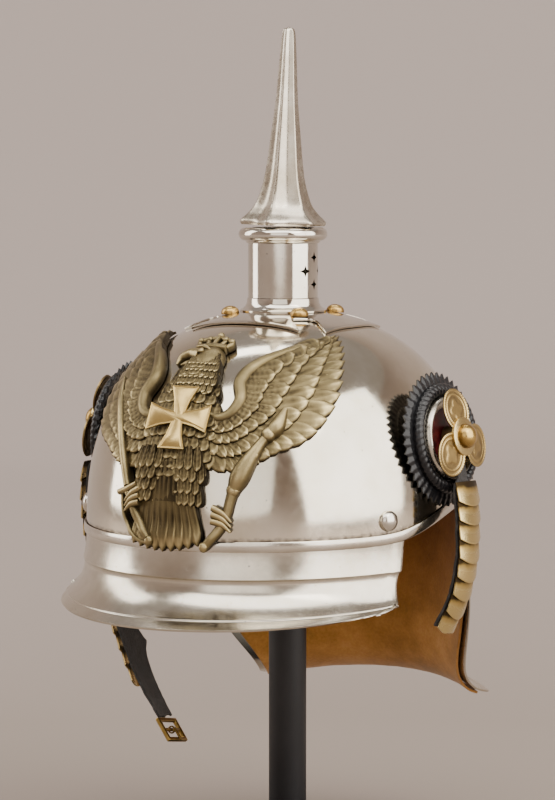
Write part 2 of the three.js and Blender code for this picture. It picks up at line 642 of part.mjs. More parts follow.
// Cockades. Each is a stack on its own axis, which points outwards.
function toothedFlange() {
  const spans = COCKADE.teeth * 2;
  const rows = (lift) => Array.from({ length: spans }, (_, i) => {
    const angle = (i / spans) * 2 * Math.PI;
    const rim = i % 2 === 0 ? COCKADE_RADII.tip : COCKADE_RADII.root;
    return [[COCKADE_RADII.flangeInner, 0], [rim, -COCKADE.dish]].map(([radius, z]) => {
      return new THREE.Vector3(radius * Math.cos(angle), radius * Math.sin(angle), z + lift);
    });
  });
  return wall(rows(COCKADE_STACK.flange), rows(0), true);
}
function cockadeBlack() {
  const { ropeOuter, ropeCrest, ropeInner, hub } = COCKADE_RADII;
  const { floor, ropeSide, rope, ropeInside } = COCKADE_STACK;
  const ring = turned([
    [0, -COCKADE_STACK.hub],
    [hub, -COCKADE_STACK.hub],
    [hub, 0],
    [ropeOuter, 0],
    [ropeOuter, ropeSide],
    [ropeCrest, rope],
    [ropeInner, ropeInside],
    [ropeInner, floor],
    [0, floor],
  ], SEGMENTS.tube);
  return join(ring, toothedFlange());
}
function cockadeSilver() {
  const outer = COCKADE_RADII.ropeInner - GAP;
  const inner = COCKADE_RADII.silverInner;
  const foot = COCKADE_STACK.floor + GAP;
  return turned([
    [inner, foot],
    [outer, foot],
    [outer, COCKADE_STACK.silverSide],
    [COCKADE_RADII.silverCrest, COCKADE_STACK.silver],
    [inner, COCKADE_STACK.silverSide],
    [inner, foot],
  ], SEGMENTS.ring);
}
function cockadeRed() {
  const radius = COCKADE_RADII.silverInner - GAP;
  const foot = COCKADE_STACK.floor + GAP;
  const top = COCKADE_STACK.red;
  return turned([[0, foot], [radius, foot], [radius, top], [0, top]], SEGMENTS.tube);
}
function trefoilShape(side) {
  const lobe = (turnDegrees) => {
    const { lobeRadius, thickness } = TREFOIL;
    const disc = new THREE.CylinderGeometry(lobeRadius, lobeRadius, thickness, SEGMENTS.lobe);
    disc.rotateX(Math.PI / 2);
    disc.translate(TREFOIL.lobePlace, 0, thickness / 2);
    disc.rotateY(radians(TREFOIL.droop));
    return disc.rotateZ(radians(turnDegrees));
  };
  const start = side > 0 ? TREFOIL.turn : 180 - TREFOIL.turn;
  const lobes = Array.from({ length: TREFOIL.lobes }, (_, i) => lobe(start + i * 360 / TREFOIL.lobes));
  const stemHeight = COCKADE_STACK.trefoil + TREFOIL.thickness - COCKADE_STACK.red - GAP;
  const stem = new THREE.CylinderGeometry(TREFOIL_STEM, TREFOIL_STEM, stemHeight, SEGMENTS.boss);
  stem.rotateX(Math.PI / 2);
  stem.translate(0, 0, -stemHeight / 2 + TREFOIL.thickness);
  return join(stem, ...lobes);
}
function addCockade(side, name) {
  const cockade = new THREE.Group();
  const up = radians(COCKADE.up);
  const forward = radians(COCKADE.forward);
  const outward = new THREE.Vector3(
    side * Math.cos(up) * Math.cos(forward),
    -Math.cos(up) * Math.sin(forward),
    Math.sin(up),
  );
  const level = new THREE.Vector3(0, 0, 1).cross(outward).normalize();
  const upward = outward.clone().cross(level);
  cockade.quaternion.setFromRotationMatrix(new THREE.Matrix4().makeBasis(level, upward, outward));
  cockade.position.set(side * COCKADE.x, COCKADE.y, COCKADE.z);
  helmet.add(cockade);
  addPiece(cockade, `cockade_black_${name}`, cockadeBlack(), BLACK_LOOK);
  addPiece(cockade, `cockade_silver_${name}`, cockadeSilver(), STEEL_LOOK);
  addPiece(cockade, `cockade_red_${name}`, cockadeRed(), RED_LOOK);
  const trefoil = addPiece(cockade, `trefoil_${name}`, trefoilShape(side), BRASS_LOOK);
  trefoil.position.z = COCKADE_STACK.trefoil;
  const bossHead = domeHead(BOSS.radius, BOSS.height, SEGMENTS.boss);
  const boss = addPiece(cockade, `boss_${name}`, bossHead, BRASS_LOOK);
  boss.position.z = COCKADE_STACK.trefoil + TREFOIL.thickness + GAP;
}
addCockade(1, 'left');
addCockade(-1, 'right');

// Chin straps. A strap's frame gives a point on its middle line, and its ways across, along and outwards.
function strapRoute(rows) {
  const knots = rows.map(({ x, y, z }) => new THREE.Vector3(x, y, z));
  return new THREE.CatmullRomCurve3(knots, false, 'centripetal');
}
function strapFrame(route, side, distance) {
  const place = THREE.MathUtils.clamp(distance / route.getLength(), 0, 1);
  const point = route.getPointAt(place);
  const down = route.getTangentAt(place);
  const across = new THREE.Vector3(side, 0, 0).cross(down).normalize();
  const outward = down.clone().cross(across);
  return { point, down, across, outward };
}
function strapPoint(route, side, distance, sideways, lift) {
  const { point, across, outward } = strapFrame(route, side, distance);
  return point.addScaledVector(across, sideways).addScaledVector(outward, lift);
}
function strapSolid(route, side) {
  const { spans } = STRAP;
  const length = route.getLength();
  const rows = (lift) => Array.from({ length: spans + 1 }, (_, i) => {
    const distance = length * i / spans;
    const full = THREE.MathUtils.lerp(STRAP.topWidth, STRAP.endWidth, i / spans);
    const half = (distance < STRAP.tabLength ? STRAP.tabWidth : full) / 2;
    return [-half, half].map((sideways) => strapPoint(route, side, distance, sideways, lift));
  });
  return wall(rows(STRAP.thickness / 2), rows(-STRAP.thickness / 2));
}
// One brass scale: bowed across the strap, round at its lower end, lifted there to lie on the next one.
function scaleSolid(route, side, number) {
  const start = SCALE_START + number * SCALE.pitch;
  const taper = number / SCALE_COUNT.right;
  const half = THREE.MathUtils.lerp(SCALE_WIDTH.top, SCALE_WIDTH.end, taper) / 2;
  const rows = (lift) => Array.from({ length: SCALE.across + 1 }, (_, i) => {
    const share = 2 * i / SCALE.across - 1;
    const length = SCALE.length - SCALE.tip * share ** 2;
    return [0, 0.5, 1].map((step) => {
      const forward = step * length;
      const rise = STRAP.thickness / 2 + GAP + SCALE.slope * forward + SCALE.bulge * (1 - share ** 2);
      return strapPoint(route, side, start + forward, share * half, rise + lift);
    });
  });
  return wall(rows(SCALE.thickness), rows(0));
}
const straps = [
  { name: 'left', side: 1, route: strapRoute(STRAP_LEFT) },
  { name: 'right', side: -1, route: strapRoute(STRAP_RIGHT) },
];
for (const { name, side, route } of straps) {
  addPiece(helmet, `strap_${name}`, strapSolid(route, side), LEATHER_LOOK);
  for (let number = 0; number < SCALE_COUNT[name]; number++) {
    const label = String(number + 1).padStart(2, '0');
    addPiece(helmet, `scale_${name}_${label}`, scaleSolid(route, side, number), BRASS_LOOK);
  }
}

// Stud and buckle at the end of the right strap
const tail = straps[1];
const tailLength = tail.route.getLength();
function seatOnTail(mesh, distance, lift) {
  const { point, down, across, outward } = strapFrame(tail.route, tail.side, distance);
  const basis = new THREE.Matrix4().makeBasis(across, down.clone().negate(), outward);
  mesh.quaternion.setFromRotationMatrix(basis);
  mesh.position.copy(point).addScaledVector(outward, lift);
  return down;
}
const tailStud = addPiece(helmet, 'strap_stud', domeHead(STRAP_STUD.radius, STRAP_STUD.height), BRASS_LOOK);
seatOnTail(tailStud, tailLength - STRAP_STUD.fromEnd, STRAP.thickness / 2 + GAP);
const frameShape = new THREE.Shape();
const rectangle = (path, halfWidth, halfLength) => {
  path.moveTo(-halfWidth, -halfLength);
  path.lineTo(halfWidth, -halfLength);
  path.lineTo(halfWidth, halfLength);
  path.lineTo(-halfWidth, halfLength);
  path.closePath();
};
rectangle(frameShape, BUCKLE.width / 2, BUCKLE.length / 2);
const frameHole = new THREE.Path();
rectangle(frameHole, BUCKLE.width / 2 - BUCKLE.rod, BUCKLE.length / 2 - BUCKLE.rod);
frameShape.holes.push(frameHole);
const frameOutline = new THREE.ExtrudeGeometry(frameShape, { depth: BUCKLE.rod, bevelEnabled: false });
frameOutline.translate(0, 0, -BUCKLE.rod / 2);
const middleBar = new THREE.CylinderGeometry(
  BUCKLE.barRadius,
  BUCKLE.barRadius,
  BUCKLE.width - BUCKLE.rod,
  SEGMENTS.bar,
);
middleBar.rotateZ(Math.PI / 2);
const buckle = addPiece(helmet, 'buckle_frame', join(frameOutline, middleBar), BRASS_LOOK);
const frameWay = seatOnTail(buckle, tailLength, 0);
buckle.position.addScaledVector(frameWay, BUCKLE.length / 2 + GAP);

// Buckle tongue: an eye round the middle bar, and a prong that lies on the frame's inner face
const eye = turned([
  [TONGUE.eyeInner, -TONGUE.width / 2],
  [TONGUE.eyeOuter, -TONGUE.width / 2],
  [TONGUE.eyeOuter, TONGUE.width / 2],
  [TONGUE.eyeInner, TONGUE.width / 2],
  [TONGUE.eyeInner, -TONGUE.width / 2],
], SEGMENTS.boss);
eye.rotateY(Math.PI / 2);
const prong = new THREE.BoxGeometry(TONGUE.width, TONGUE.reach, TONGUE.thickness);
const prongLift = BUCKLE.rod / 2 + GAP + TONGUE.thickness / 2;
prong.translate(0, -TONGUE.reach / 2, -prongLift);
const tongue = addPiece(helmet, 'buckle_tongue', join(eye, prong), BRASS_LOOK);
tongue.quaternion.copy(buckle.quaternion);
tongue.position.copy(buckle.position);

// Display stand: a round foot, a post, and a head that carries the crown from inside
function crownInside(radius) {
  const share = radius / (SKULL.halfWidth - STEEL);
  return RIM_HEIGHT + (SKULL.height - STEEL) * (1 - share ** SKULL.power) ** (1 / SKULL.power);
}
const headTop = (radius) => crownInside(radius) - STAND_HEAD.clearance;
const headFoot = headTop(STAND_HEAD.radius) - STAND_HEAD.drop;
addPiece(part, 'stand_base', turned([
  [0, 0],
  [STAND.footRadius, 0],
  [STAND.footRadius, STAND.footHeight - STAND.footEdge],
  [STAND.footRadius - STAND.footEdge, STAND.footHeight],
  [0, STAND.footHeight],
], SEGMENTS.foot), STAND_LOOK);
addPiece(part, 'stand_post', turned([
  [0, STAND.footHeight + GAP],
  [STAND.postRadius, STAND.footHeight + GAP],
  [STAND.postRadius, headFoot - GAP],
  [0, headFoot - GAP],
], SEGMENTS.tube), STAND_LOOK);
addPiece(part, 'stand_head', turned([
  [0, headFoot],
  [STAND_HEAD.radius, headFoot],
  [STAND_HEAD.radius, headTop(STAND_HEAD.radius)],
  [STAND_HEAD.radius / 2, headTop(STAND_HEAD.radius / 2)],
  [0, headTop(STAND_HEAD.radius / 2)],
], SEGMENTS.ring), STAND_LOOK);

export default part;
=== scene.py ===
import math

import bpy
from mathutils import Matrix, Vector, noise


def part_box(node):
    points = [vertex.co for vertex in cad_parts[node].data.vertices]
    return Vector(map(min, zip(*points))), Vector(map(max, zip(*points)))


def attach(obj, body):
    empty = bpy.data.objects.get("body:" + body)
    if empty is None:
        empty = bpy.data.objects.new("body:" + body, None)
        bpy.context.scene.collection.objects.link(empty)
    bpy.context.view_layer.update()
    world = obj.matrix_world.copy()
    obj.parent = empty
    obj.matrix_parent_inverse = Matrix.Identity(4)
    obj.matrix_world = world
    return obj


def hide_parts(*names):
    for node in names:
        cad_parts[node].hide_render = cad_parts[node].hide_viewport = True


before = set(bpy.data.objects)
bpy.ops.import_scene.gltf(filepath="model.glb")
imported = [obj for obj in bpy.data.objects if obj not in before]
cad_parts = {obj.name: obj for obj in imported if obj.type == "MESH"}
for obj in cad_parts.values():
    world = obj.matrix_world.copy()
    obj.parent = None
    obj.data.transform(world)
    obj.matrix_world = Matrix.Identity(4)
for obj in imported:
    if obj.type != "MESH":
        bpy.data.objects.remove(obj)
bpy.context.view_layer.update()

# Camera and studio. A long lens looks slightly down on the helmet from its front left side.
# A round paper sweep closes the room, and soft panels give the broad reflections of a studio.
MM = 0.001
LOOK = "_look"
RIM_HEIGHT = 0.175
AHEAD_OF_POST = 0.005
CAMERA_YAW = math.radians(28)
CAMERA_TURN = math.atan(5.5 / 3000)
CAMERA_PITCH = math.radians(4.67)
CAMERA_DISTANCE = 1.5
CAMERA_ABOVE_RIM = 0.1825
SWEEP_FLOOR, SWEEP_WALL, SWEEP_TOP = 1.9, 3.0, 2.6
# The near floor colour is painted shade: the paper is drawn darker round the helmet than its own tone.
PAPER, PAPER_DULL, PAPER_SHADE_NEAR = "#b8ada7", "#b2a6a0", "#8a7e75"
NEAR_FLOOR, FAR_FLOOR = 0.4, 2.0


def linear(colour):
    """An sRGB hex colour as linear RGBA."""
    parts = [int(colour[i:i + 2], 16) / 255 for i in (1, 3, 5)]
    return [p / 12.92 if p <= 0.04045 else ((p + 0.055) / 1.055) ** 2.4 for p in parts] + [1]


def node(material, kind, links=None, **settings):
    """Adds a node with its settings, and links outputs into the inputs that are named."""
    new = material.node_tree.nodes.new(kind)
    for key, value in settings.items():
        if key == "stops":
            while len(new.color_ramp.elements) < len(value):
                new.color_ramp.elements.new(1)
            for element, (place, colour) in zip(new.color_ramp.elements, value):
                element.position = place
                element.color = linear(colour) if isinstance(colour, str) else [colour] * 3 + [1]
        elif key in new.inputs:
            new.inputs[key].default_value = value
        else:
            setattr(new, key, value)
    for name, output in (links or {}).items():
        material.node_tree.links.new(output, new.inputs[name])
    return new


def blank(name, **sockets):
    """A material whose shader has the given constant sockets."""
    material = bpy.data.materials.new(name)
    material.use_nodes = True
    shader = material.node_tree.nodes["Principled BSDF"]
    for key, value in sockets.items():
        shader.inputs[key.replace("_", " ")].default_value = value
    return material, shader


def per(millimetres):
    """A texture scale that gives features of that size on Object coordinates."""
    return 1 / (millimetres * MM)


def sheet_of(name, columns, rows, place, closed=False):
    """A grid whose points are laid on place(u, v); a closed one has its seam and poles merged."""
    bpy.ops.object.select_all(action="DESELECT")
    bpy.ops.mesh.primitive_grid_add(x_subdivisions=columns, y_subdivisions=rows, size=2)
    piece = bpy.context.object
    piece.name = name + LOOK
    for vertex in piece.data.vertices:
        vertex.co = place((vertex.co.x + 1) / 2, (vertex.co.y + 1) / 2)
    if closed:
        bpy.ops.object.mode_set(mode="EDIT")
        bpy.ops.mesh.select_all(action="SELECT")
        bpy.ops.mesh.remove_doubles(threshold=1e-3)
        bpy.ops.mesh.normals_make_consistent(inside=False)
        bpy.ops.object.mode_set(mode="OBJECT")
    return piece


def sweep_point(u, v):
    turn = 2 * math.pi * u
    if v < 0.4:
        radius, height = SWEEP_FLOOR * v / 0.4, 0
    elif v < 0.8:
        bend = (v - 0.4) / 0.4 * math.pi / 2
        reach = SWEEP_WALL - SWEEP_FLOOR
        radius = SWEEP_FLOOR + reach * math.sin(bend)
        height = reach * (1 - math.cos(bend))
    else:
        reach = SWEEP_WALL - SWEEP_FLOOR
        radius, height = SWEEP_WALL, reach + (SWEEP_TOP - reach) * (v - 0.8) / 0.2
    return Vector((radius * math.cos(turn), radius * math.sin(turn), height))


camera = bpy.data.objects.new("camera", bpy.data.cameras.new("camera"))
bpy.context.collection.objects.link(camera)
camera.data.lens = 135
camera.data.sensor_width = 36
camera.location = (
    CAMERA_DISTANCE * math.sin(CAMERA_YAW),
    -CAMERA_DISTANCE * math.cos(CAMERA_YAW) - AHEAD_OF_POST,
    RIM_HEIGHT + CAMERA_ABOVE_RIM,
)
camera.rotation_euler = (math.pi / 2 - CAMERA_PITCH, 0, CAMERA_YAW + CAMERA_TURN)
bpy.context.scene.camera = camera

sweep = sheet_of("paper_sweep", 96, 40, sweep_point, closed=True)
for polygon in sweep.data.polygons:
    polygon.use_smooth = True
paper, paper_shader = blank("seamless_paper", Roughness=0.9)
paper_where = node(paper, "ShaderNodeTexCoord").outputs["Object"]
paper_grain = node(paper, "ShaderNodeTexNoise", {"Vector": paper_where}, Scale=0.6, Detail=2)
paper_tone = node(paper, "ShaderNodeValToRGB", {"Fac": paper_grain.outputs["Fac"]},
                  stops=[(0.3, PAPER_DULL), (0.7, PAPER)])
# Painted shade: the floor paper darkens towards the helmet, full within NEAR_FLOOR and gone by FAR_FLOOR.
paper_away = node(paper, "ShaderNodeVectorMath", {"Vector": paper_where}, operation="LENGTH")
paper_far = node(paper, "ShaderNodeMapRange", {"Value": paper_away.outputs["Value"]})
paper_far.inputs["From Min"].default_value = NEAR_FLOOR
paper_far.inputs["From Max"].default_value = FAR_FLOOR
paper_shaded = node(paper, "ShaderNodeMixRGB", {"Fac": paper_far.outputs["Result"]}, Color1=linear(PAPER_SHADE_NEAR))
paper_link = paper.node_tree.links.new
paper_link(paper_tone.outputs["Color"], paper_shaded.inputs["Color2"])
paper_link(paper_shaded.outputs["Color"], paper_shader.inputs["Base Color"])
# The paper shows from inside only, so a camera that stands behind it still sees the helmet.
if sweep.data.polygons[0].normal.z < 0:
    sweep.data.flip_normals()
paper_side = node(paper, "ShaderNodeNewGeometry")
paper_clear = node(paper, "ShaderNodeBsdfTransparent")
paper_seen = node(paper, "ShaderNodeMixShader", {"Fac": paper_side.outputs["Backfacing"]})
paper_link(paper_shader.outputs["BSDF"], paper_seen.inputs[1])
paper_link(paper_clear.outputs["BSDF"], paper_seen.inputs[2])
paper_link(paper_seen.outputs["Shader"], paper.node_tree.nodes["Material Output"].inputs["Surface"])
sweep.data.materials.append(paper)

PANELS = [
    # name, azimuth, height, distance, width, tall, watts, distance and height of its aim
    ("panel_over", 28, 2.0, 0.9, 3.0, 1.3, 52, 0, 0.22),
    ("panel_right", 88, 1.0, 1.7, 2.2, 2.0, 58, 0, 0.22),
    ("panel_left", -76, 0.9, 1.7, 0.8, 1.7, 19, 0, 0.22),
    ("panel_camera", 18, 0.9, 2.3, 1.9, 1.5, 14, 0, 0.22),
    ("panel_backdrop", 208, 2.3, 0.9, 1.6, 0.8, 26, 2.7, 0.2),
]
for name, azimuth, height, distance, width, tall, watts, aim_distance, aim_height in PANELS:
    light = bpy.data.objects.new(name, bpy.data.lights.new(name, "AREA"))
    bpy.context.collection.objects.link(light)
    light.data.shape = "RECTANGLE"
    light.data.size = width
    light.data.size_y = tall
    light.data.energy = watts
    light.data.color = linear("#fffcf7")[:3]
    way = Vector((math.sin(math.radians(azimuth)), -math.cos(math.radians(azimuth)), 0))
    light.location = way * distance + Vector((0, 0, height))
    aim = way * aim_distance + Vector((0, 0, aim_height))
    light.rotation_euler = (aim - light.location).to_track_quat("-Z", "Y").to_euler()
    light.visible_camera = False
world = bpy.data.worlds.new("room")
world.use_nodes = True
world.node_tree.nodes["Background"].inputs["Color"].default_value = linear("#aaa09a")
world.node_tree.nodes["Background"].inputs["Strength"].default_value = 0.95
bpy.context.scene.world = world

# Display stand: a turned steel foot, a straight post and a low domed head inside the crown.
# All three are painted matt black. The post is pressed into the foot and into the head.
FOOT_RADIUS, FOOT_HEIGHT, FOOT_EDGE = 95, 10, 2
POST_RADIUS = 9.5
HEAD_RADIUS = 34


def turned(name, profile, steps=96):
    """A profile of (radius, height) rows, drawn by extruding one vertex and spun about Z."""
    bpy.ops.object.select_all(action="DESELECT")
    bpy.ops.mesh.primitive_plane_add(size=1)
    piece = bpy.context.object
    piece.name = name + LOOK
    bpy.ops.object.mode_set(mode="EDIT")
    bpy.ops.mesh.select_all(action="SELECT")
    bpy.ops.mesh.merge(type="CENTER")
    here = Vector((profile[0][0], 0, profile[0][1]))
    bpy.ops.transform.translate(value=here)
    for radius, height in profile[1:]:
        there = Vector((radius, 0, height))
        bpy.ops.mesh.extrude_region_move(TRANSFORM_OT_translate={"value": there - here})
        here = there
    bpy.ops.mesh.select_all(action="SELECT")
    bpy.ops.mesh.spin(steps=steps, angle=2 * math.pi, center=(0, 0, 0), axis=(0, 0, 1))
    bpy.ops.mesh.select_all(action="SELECT")
    bpy.ops.mesh.remove_doubles(threshold=1e-3)
    bpy.ops.mesh.normals_make_consistent(inside=False)
    bpy.ops.object.mode_set(mode="OBJECT")
    return piece


def modify(piece, kind, **settings):
    """Adds one modifier with its settings and applies it."""
    modifier = piece.modifiers.new(kind.lower(), kind)
    for key, value in settings.items():
        setattr(modifier, key, value)
    bpy.context.view_layer.objects.active = piece
    bpy.ops.object.modifier_apply(modifier=modifier.name)


def soften(piece, width, segments=2):
    """Rounds the edges that are sharper than 35 degrees."""
    modify(piece, "BEVEL", width=width, segments=segments, limit_method="ANGLE", angle_limit=math.radians(35))


def settle(piece, material, seat=None, body="helmet", smooth=35):
    """Puts a piece modelled in millimetres in its place, with its finish, body and CAD node."""
    to_metres = Matrix.Scale(MM, 4) if seat is None else seat
    piece.data.transform(to_metres)
    piece.data.materials.clear()
    piece.data.materials.append(material)
    bpy.ops.object.select_all(action="DESELECT")
    piece.select_set(True)
    bpy.context.view_layer.objects.active = piece
    bpy.ops.object.shade_smooth_by_angle(angle=math.radians(smooth))
    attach(piece, body)
    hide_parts(piece.name.removesuffix(LOOK))


def matt_black_paint():
    """Sprayed black paint: even and dull, with a faint orange-peel grain and dust that greys it."""
    material, shader = blank("matt_black_paint", IOR=1.5)
    where = node(material, "ShaderNodeTexCoord")
    dust = node(material, "ShaderNodeTexNoise", {"Vector": where.outputs["Object"]}, Scale=per(18), Detail=6)
    tone = node(material, "ShaderNodeValToRGB", {"Fac": dust.outputs["Fac"]},
                stops=[(0.35, "#0f0e10"), (0.75, "#191719")])
    peel = node(material, "ShaderNodeTexNoise", {"Vector": where.outputs["Object"]}, Scale=per(0.8), Detail=2)
    bump = node(material, "ShaderNodeBump", {"Height": peel.outputs["Fac"]}, Strength=0.25, Distance=0.0002)
    rough = node(material, "ShaderNodeMapRange", {"Value": dust.outputs["Fac"]})
    rough.inputs["To Min"].default_value = 0.42
    rough.inputs["To Max"].default_value = 0.6
    link = material.node_tree.links.new
    link(tone.outputs["Color"], shader.inputs["Base Color"])
    link(rough.outputs["Result"], shader.inputs["Roughness"])
    link(bump.outputs["Normal"], shader.inputs["Normal"])
    return material


stand_paint = matt_black_paint()
head_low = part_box("stand_head")[0][2] / MM
head_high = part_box("stand_head")[1][2] / MM
foot = turned("stand_base", [
    (0, 0),
    (FOOT_RADIUS - 1, 0),
    (FOOT_RADIUS, 1),
    (FOOT_RADIUS, FOOT_HEIGHT - FOOT_EDGE),
    (FOOT_RADIUS - FOOT_EDGE, FOOT_HEIGHT),
    (POST_RADIUS + 9, FOOT_HEIGHT),
    (0, FOOT_HEIGHT),
], steps=160)
soften(foot, 0.8, 3)
settle(foot, stand_paint)
post = turned("stand_post", [
    (0, FOOT_HEIGHT + 0.1),
    (POST_RADIUS, FOOT_HEIGHT + 0.1),
    (POST_RADIUS, head_low - 0.1),
    (0, head_low - 0.1),
], steps=64)
soften(post, 0.4)
settle(post, stand_paint)
head = turned("stand_head", [
    (0, head_low),
    (HEAD_RADIUS - 2, head_low),
    (HEAD_RADIUS, head_low + 2),
    (HEAD_RADIUS, head_high - 5.5),
    (HEAD_RADIUS - 4, head_high - 2.4),
    (HEAD_RADIUS * 0.55, head_high - 0.5),
    (0, head_high),
], steps=96)
soften(head, 0.8, 3)
settle(head, stand_paint)

# Skull: one bowl of sheet steel, drawn deep over a former, planished and nickel plated.
# It is open below, and a small hole in the crown lies under the spike's base.
HELMET_SEAT = Matrix.Translation((0, -AHEAD_OF_POST, RIM_HEIGHT)) @ Matrix.Scale(MM, 4)
STEEL = 1.2
HALF_WIDTH, HALF_LENGTH, CROWN, POWER = 93, 112, 104, 2.4
CROWN_HOLE = 9
RIM_FRONT, RIM_REAR = -0.5, 15
RIM_SWEEP_FROM, RIM_SWEEP_TO, RIM_SOFTNESS = -42, 6, 12


def mix(a, b, share):
    return a + (b - a) * share


def skull_along(direction, offset):
    """The skull's surface along a direction from the middle of the rim plane."""
    flat = math.hypot(direction.x, direction.y)
    reach = (flat ** POWER + abs(direction.z) ** POWER) ** (-1 / POWER)
    return Vector((
        (HALF_WIDTH + offset) * reach * direction.x,
        (HALF_LENGTH + offset) * reach * direction.y,
        (CROWN + offset) * reach * direction.z,
    ))


def skull_at(angle, z, offset):
    """The skull's surface at an angle from the front and a height above the rim plane."""
    scale = (1 - (abs(z) / CROWN) ** POWER) ** (1 / POWER)
    return Vector((
        (HALF_WIDTH + offset) * scale * math.sin(angle),
        -(HALF_LENGTH + offset) * scale * math.cos(angle),
        z,
    ))


def rim_edge(angle):
    """Height of the skull's edge: level over the visor, then up behind it and level again."""
    y = -HALF_LENGTH * math.cos(angle)
    ramp_from = y - RIM_SWEEP_FROM
    ramp_to = y - RIM_SWEEP_TO
    rise = (ramp_from + math.hypot(ramp_from, RIM_SOFTNESS) - ramp_to - math.hypot(ramp_to, RIM_SOFTNESS)) / 2
    return mix(RIM_FRONT, RIM_REAR, min(max(rise / (RIM_SWEEP_TO - RIM_SWEEP_FROM), 0), 1))


def skull_point(u, v):
    angle = 2 * math.pi * u
    low = rim_edge(angle) / CROWN
    low_slope = math.atan(math.copysign((abs(low) ** -POWER - 1) ** (-1 / POWER), low))
    slope = mix(low_slope, math.atan(HALF_WIDTH / CROWN_HOLE), v)
    flat = math.cos(slope)
    point = skull_along(Vector((flat * math.sin(angle), -flat * math.cos(angle), math.sin(slope))), 0)
    if v == 0:
        point.z = rim_edge(angle)
    return point


def paint(piece, name, rule):
    """A number at each point of a piece, which its material reads by name."""
    layer = piece.data.attributes.new(name, "FLOAT", "POINT")
    for vertex in piece.data.vertices:
        layer.data[vertex.index].value = rule(vertex.co)


def polished_nickel(name, bright, shade, rough_from, rough_to, dent=0.1, grime=False):
    """Nickel plate polished on a wheel: a warm mirror with faint clouding, fine wheel marks,
    small dark pits where the plate has broken, and old polish with painted shade along the joints."""
    material, shader = blank(name, Metallic=1)
    where = node(material, "ShaderNodeTexCoord").outputs["Object"]
    clouds = node(material, "ShaderNodeTexNoise", {"Vector": where}, Scale=per(26), Detail=5, Roughness=0.6)
    tone = node(material, "ShaderNodeValToRGB", {"Fac": clouds.outputs["Fac"]},
                stops=[(0.3, shade), (0.62, bright)])
    spots = node(material, "ShaderNodeTexVoronoi", {"Vector": where}, Scale=per(4.5), Randomness=1)
    few = node(material, "ShaderNodeTexNoise", {"Vector": where}, Scale=per(9), Detail=2)
    near = node(material, "ShaderNodeMath", {0: spots.outputs["Distance"], 1: few.outputs["Fac"]},
                operation="DIVIDE")
    pit = node(material, "ShaderNodeValToRGB", {"Fac": near.outputs["Value"]},
               stops=[(0.05, 1.0), (0.13, 0.0)])
    marked = node(material, "ShaderNodeMixRGB",
                  {"Fac": pit.outputs["Color"], "Color1": tone.outputs["Color"]}, Color2=linear("#5b5148"))
    base = marked.outputs["Color"]
    # Old polish and painted shade: the colour is darkened in a strip just above the rim band.
    if grime:
        layer = node(material, "ShaderNodeAttribute", attribute_name="grime")
        crumbs = node(material, "ShaderNodeTexNoise", {"Vector": where}, Scale=per(2.2), Detail=4)
        broken = node(material, "ShaderNodeMath",
                      {0: layer.outputs["Fac"], 1: crumbs.outputs["Fac"]}, operation="MULTIPLY")
        dirt_and_shade = node(material, "ShaderNodeValToRGB", {"Fac": broken.outputs["Value"]},
                     stops=[(0.2, 0.0), (0.55, 0.85)])
        soiled_and_shaded = node(material, "ShaderNodeMixRGB",
                      {"Fac": dirt_and_shade.outputs["Color"], "Color1": base}, Color2=linear("#453a2f"))
        base = soiled_and_shaded.outputs["Color"]
    marks = node(material, "ShaderNodeTexNoise", {"Vector": where}, Scale=per(3), Detail=8, Roughness=0.7)
    rough = node(material, "ShaderNodeMapRange", {"Value": marks.outputs["Fac"]})
    rough.inputs["From Min"].default_value = 0.3
    rough.inputs["From Max"].default_value = 0.75
    rough.inputs["To Min"].default_value = rough_from
    rough.inputs["To Max"].default_value = rough_to
    waves = node(material, "ShaderNodeTexNoise", {"Vector": where}, Scale=per(34), Detail=1)
    wavy = node(material, "ShaderNodeBump", {"Height": waves.outputs["Fac"]}, Strength=dent, Distance=0.002)
    pitted = node(material, "ShaderNodeBump",
                  {"Height": pit.outputs["Color"], "Normal": wavy.outputs["Normal"]},
                  Strength=0.35, Distance=0.0002, invert=True)
    link = material.node_tree.links.new
    link(base, shader.inputs["Base Color"])
    link(rough.outputs["Result"], shader.inputs["Roughness"])
    link(pitted.outputs["Normal"], shader.inputs["Normal"])
    return material


skull_nickel = polished_nickel("polished_nickel", "#ddd6c6", "#cec5b0", 0.07, 0.17, dent=0.12, grime=True)
skull = sheet_of("skull", 180, 56, skull_point, closed=True)
modify(skull, "SOLIDIFY", thickness=STEEL, offset=-1)
soften(skull, 0.25)
BAND_HALF = 2.5


# Old polish and painted shade, strongest at the band's top edge and fading up the skull.
def skull_grime_and_shade(point):
    angle = math.atan2(point.x / HALF_WIDTH, -point.y / HALF_LENGTH)
    over_band = point.z - rim_edge(angle) - BAND_HALF
    return math.exp(-max(over_band, 0) / 1.6)


paint(skull, "grime", skull_grime_and_shade)
settle(skull, skull_nickel, seat=HELMET_SEAT)

# Rim band: a narrow half-round strip of the same steel, soldered over the skull's lower edge.
# It covers the joint with the visor and the neck guard, and is buffed bright on its crest.
BAND_THICK, BAND_OFF = 1.0, 0.3


def band_point(u, v):
    angle = 2 * math.pi * u
    section = 2 * math.pi * v
    z = rim_edge(angle) + BAND_HALF * math.sin(section)
    out = BAND_OFF + BAND_THICK * 0.5 * (1 + math.cos(section))
    point = skull_at(angle, max(z, 0), out)
    point.z = z
    return point


band = sheet_of("rim_band", 180, 20, band_point, closed=True)
band_nickel = polished_nickel("buffed_nickel", "#dcd6ca", "#c3baa9", 0.12, 0.26, dent=0.05)
settle(band, band_nickel, seat=HELMET_SEAT, smooth=80)

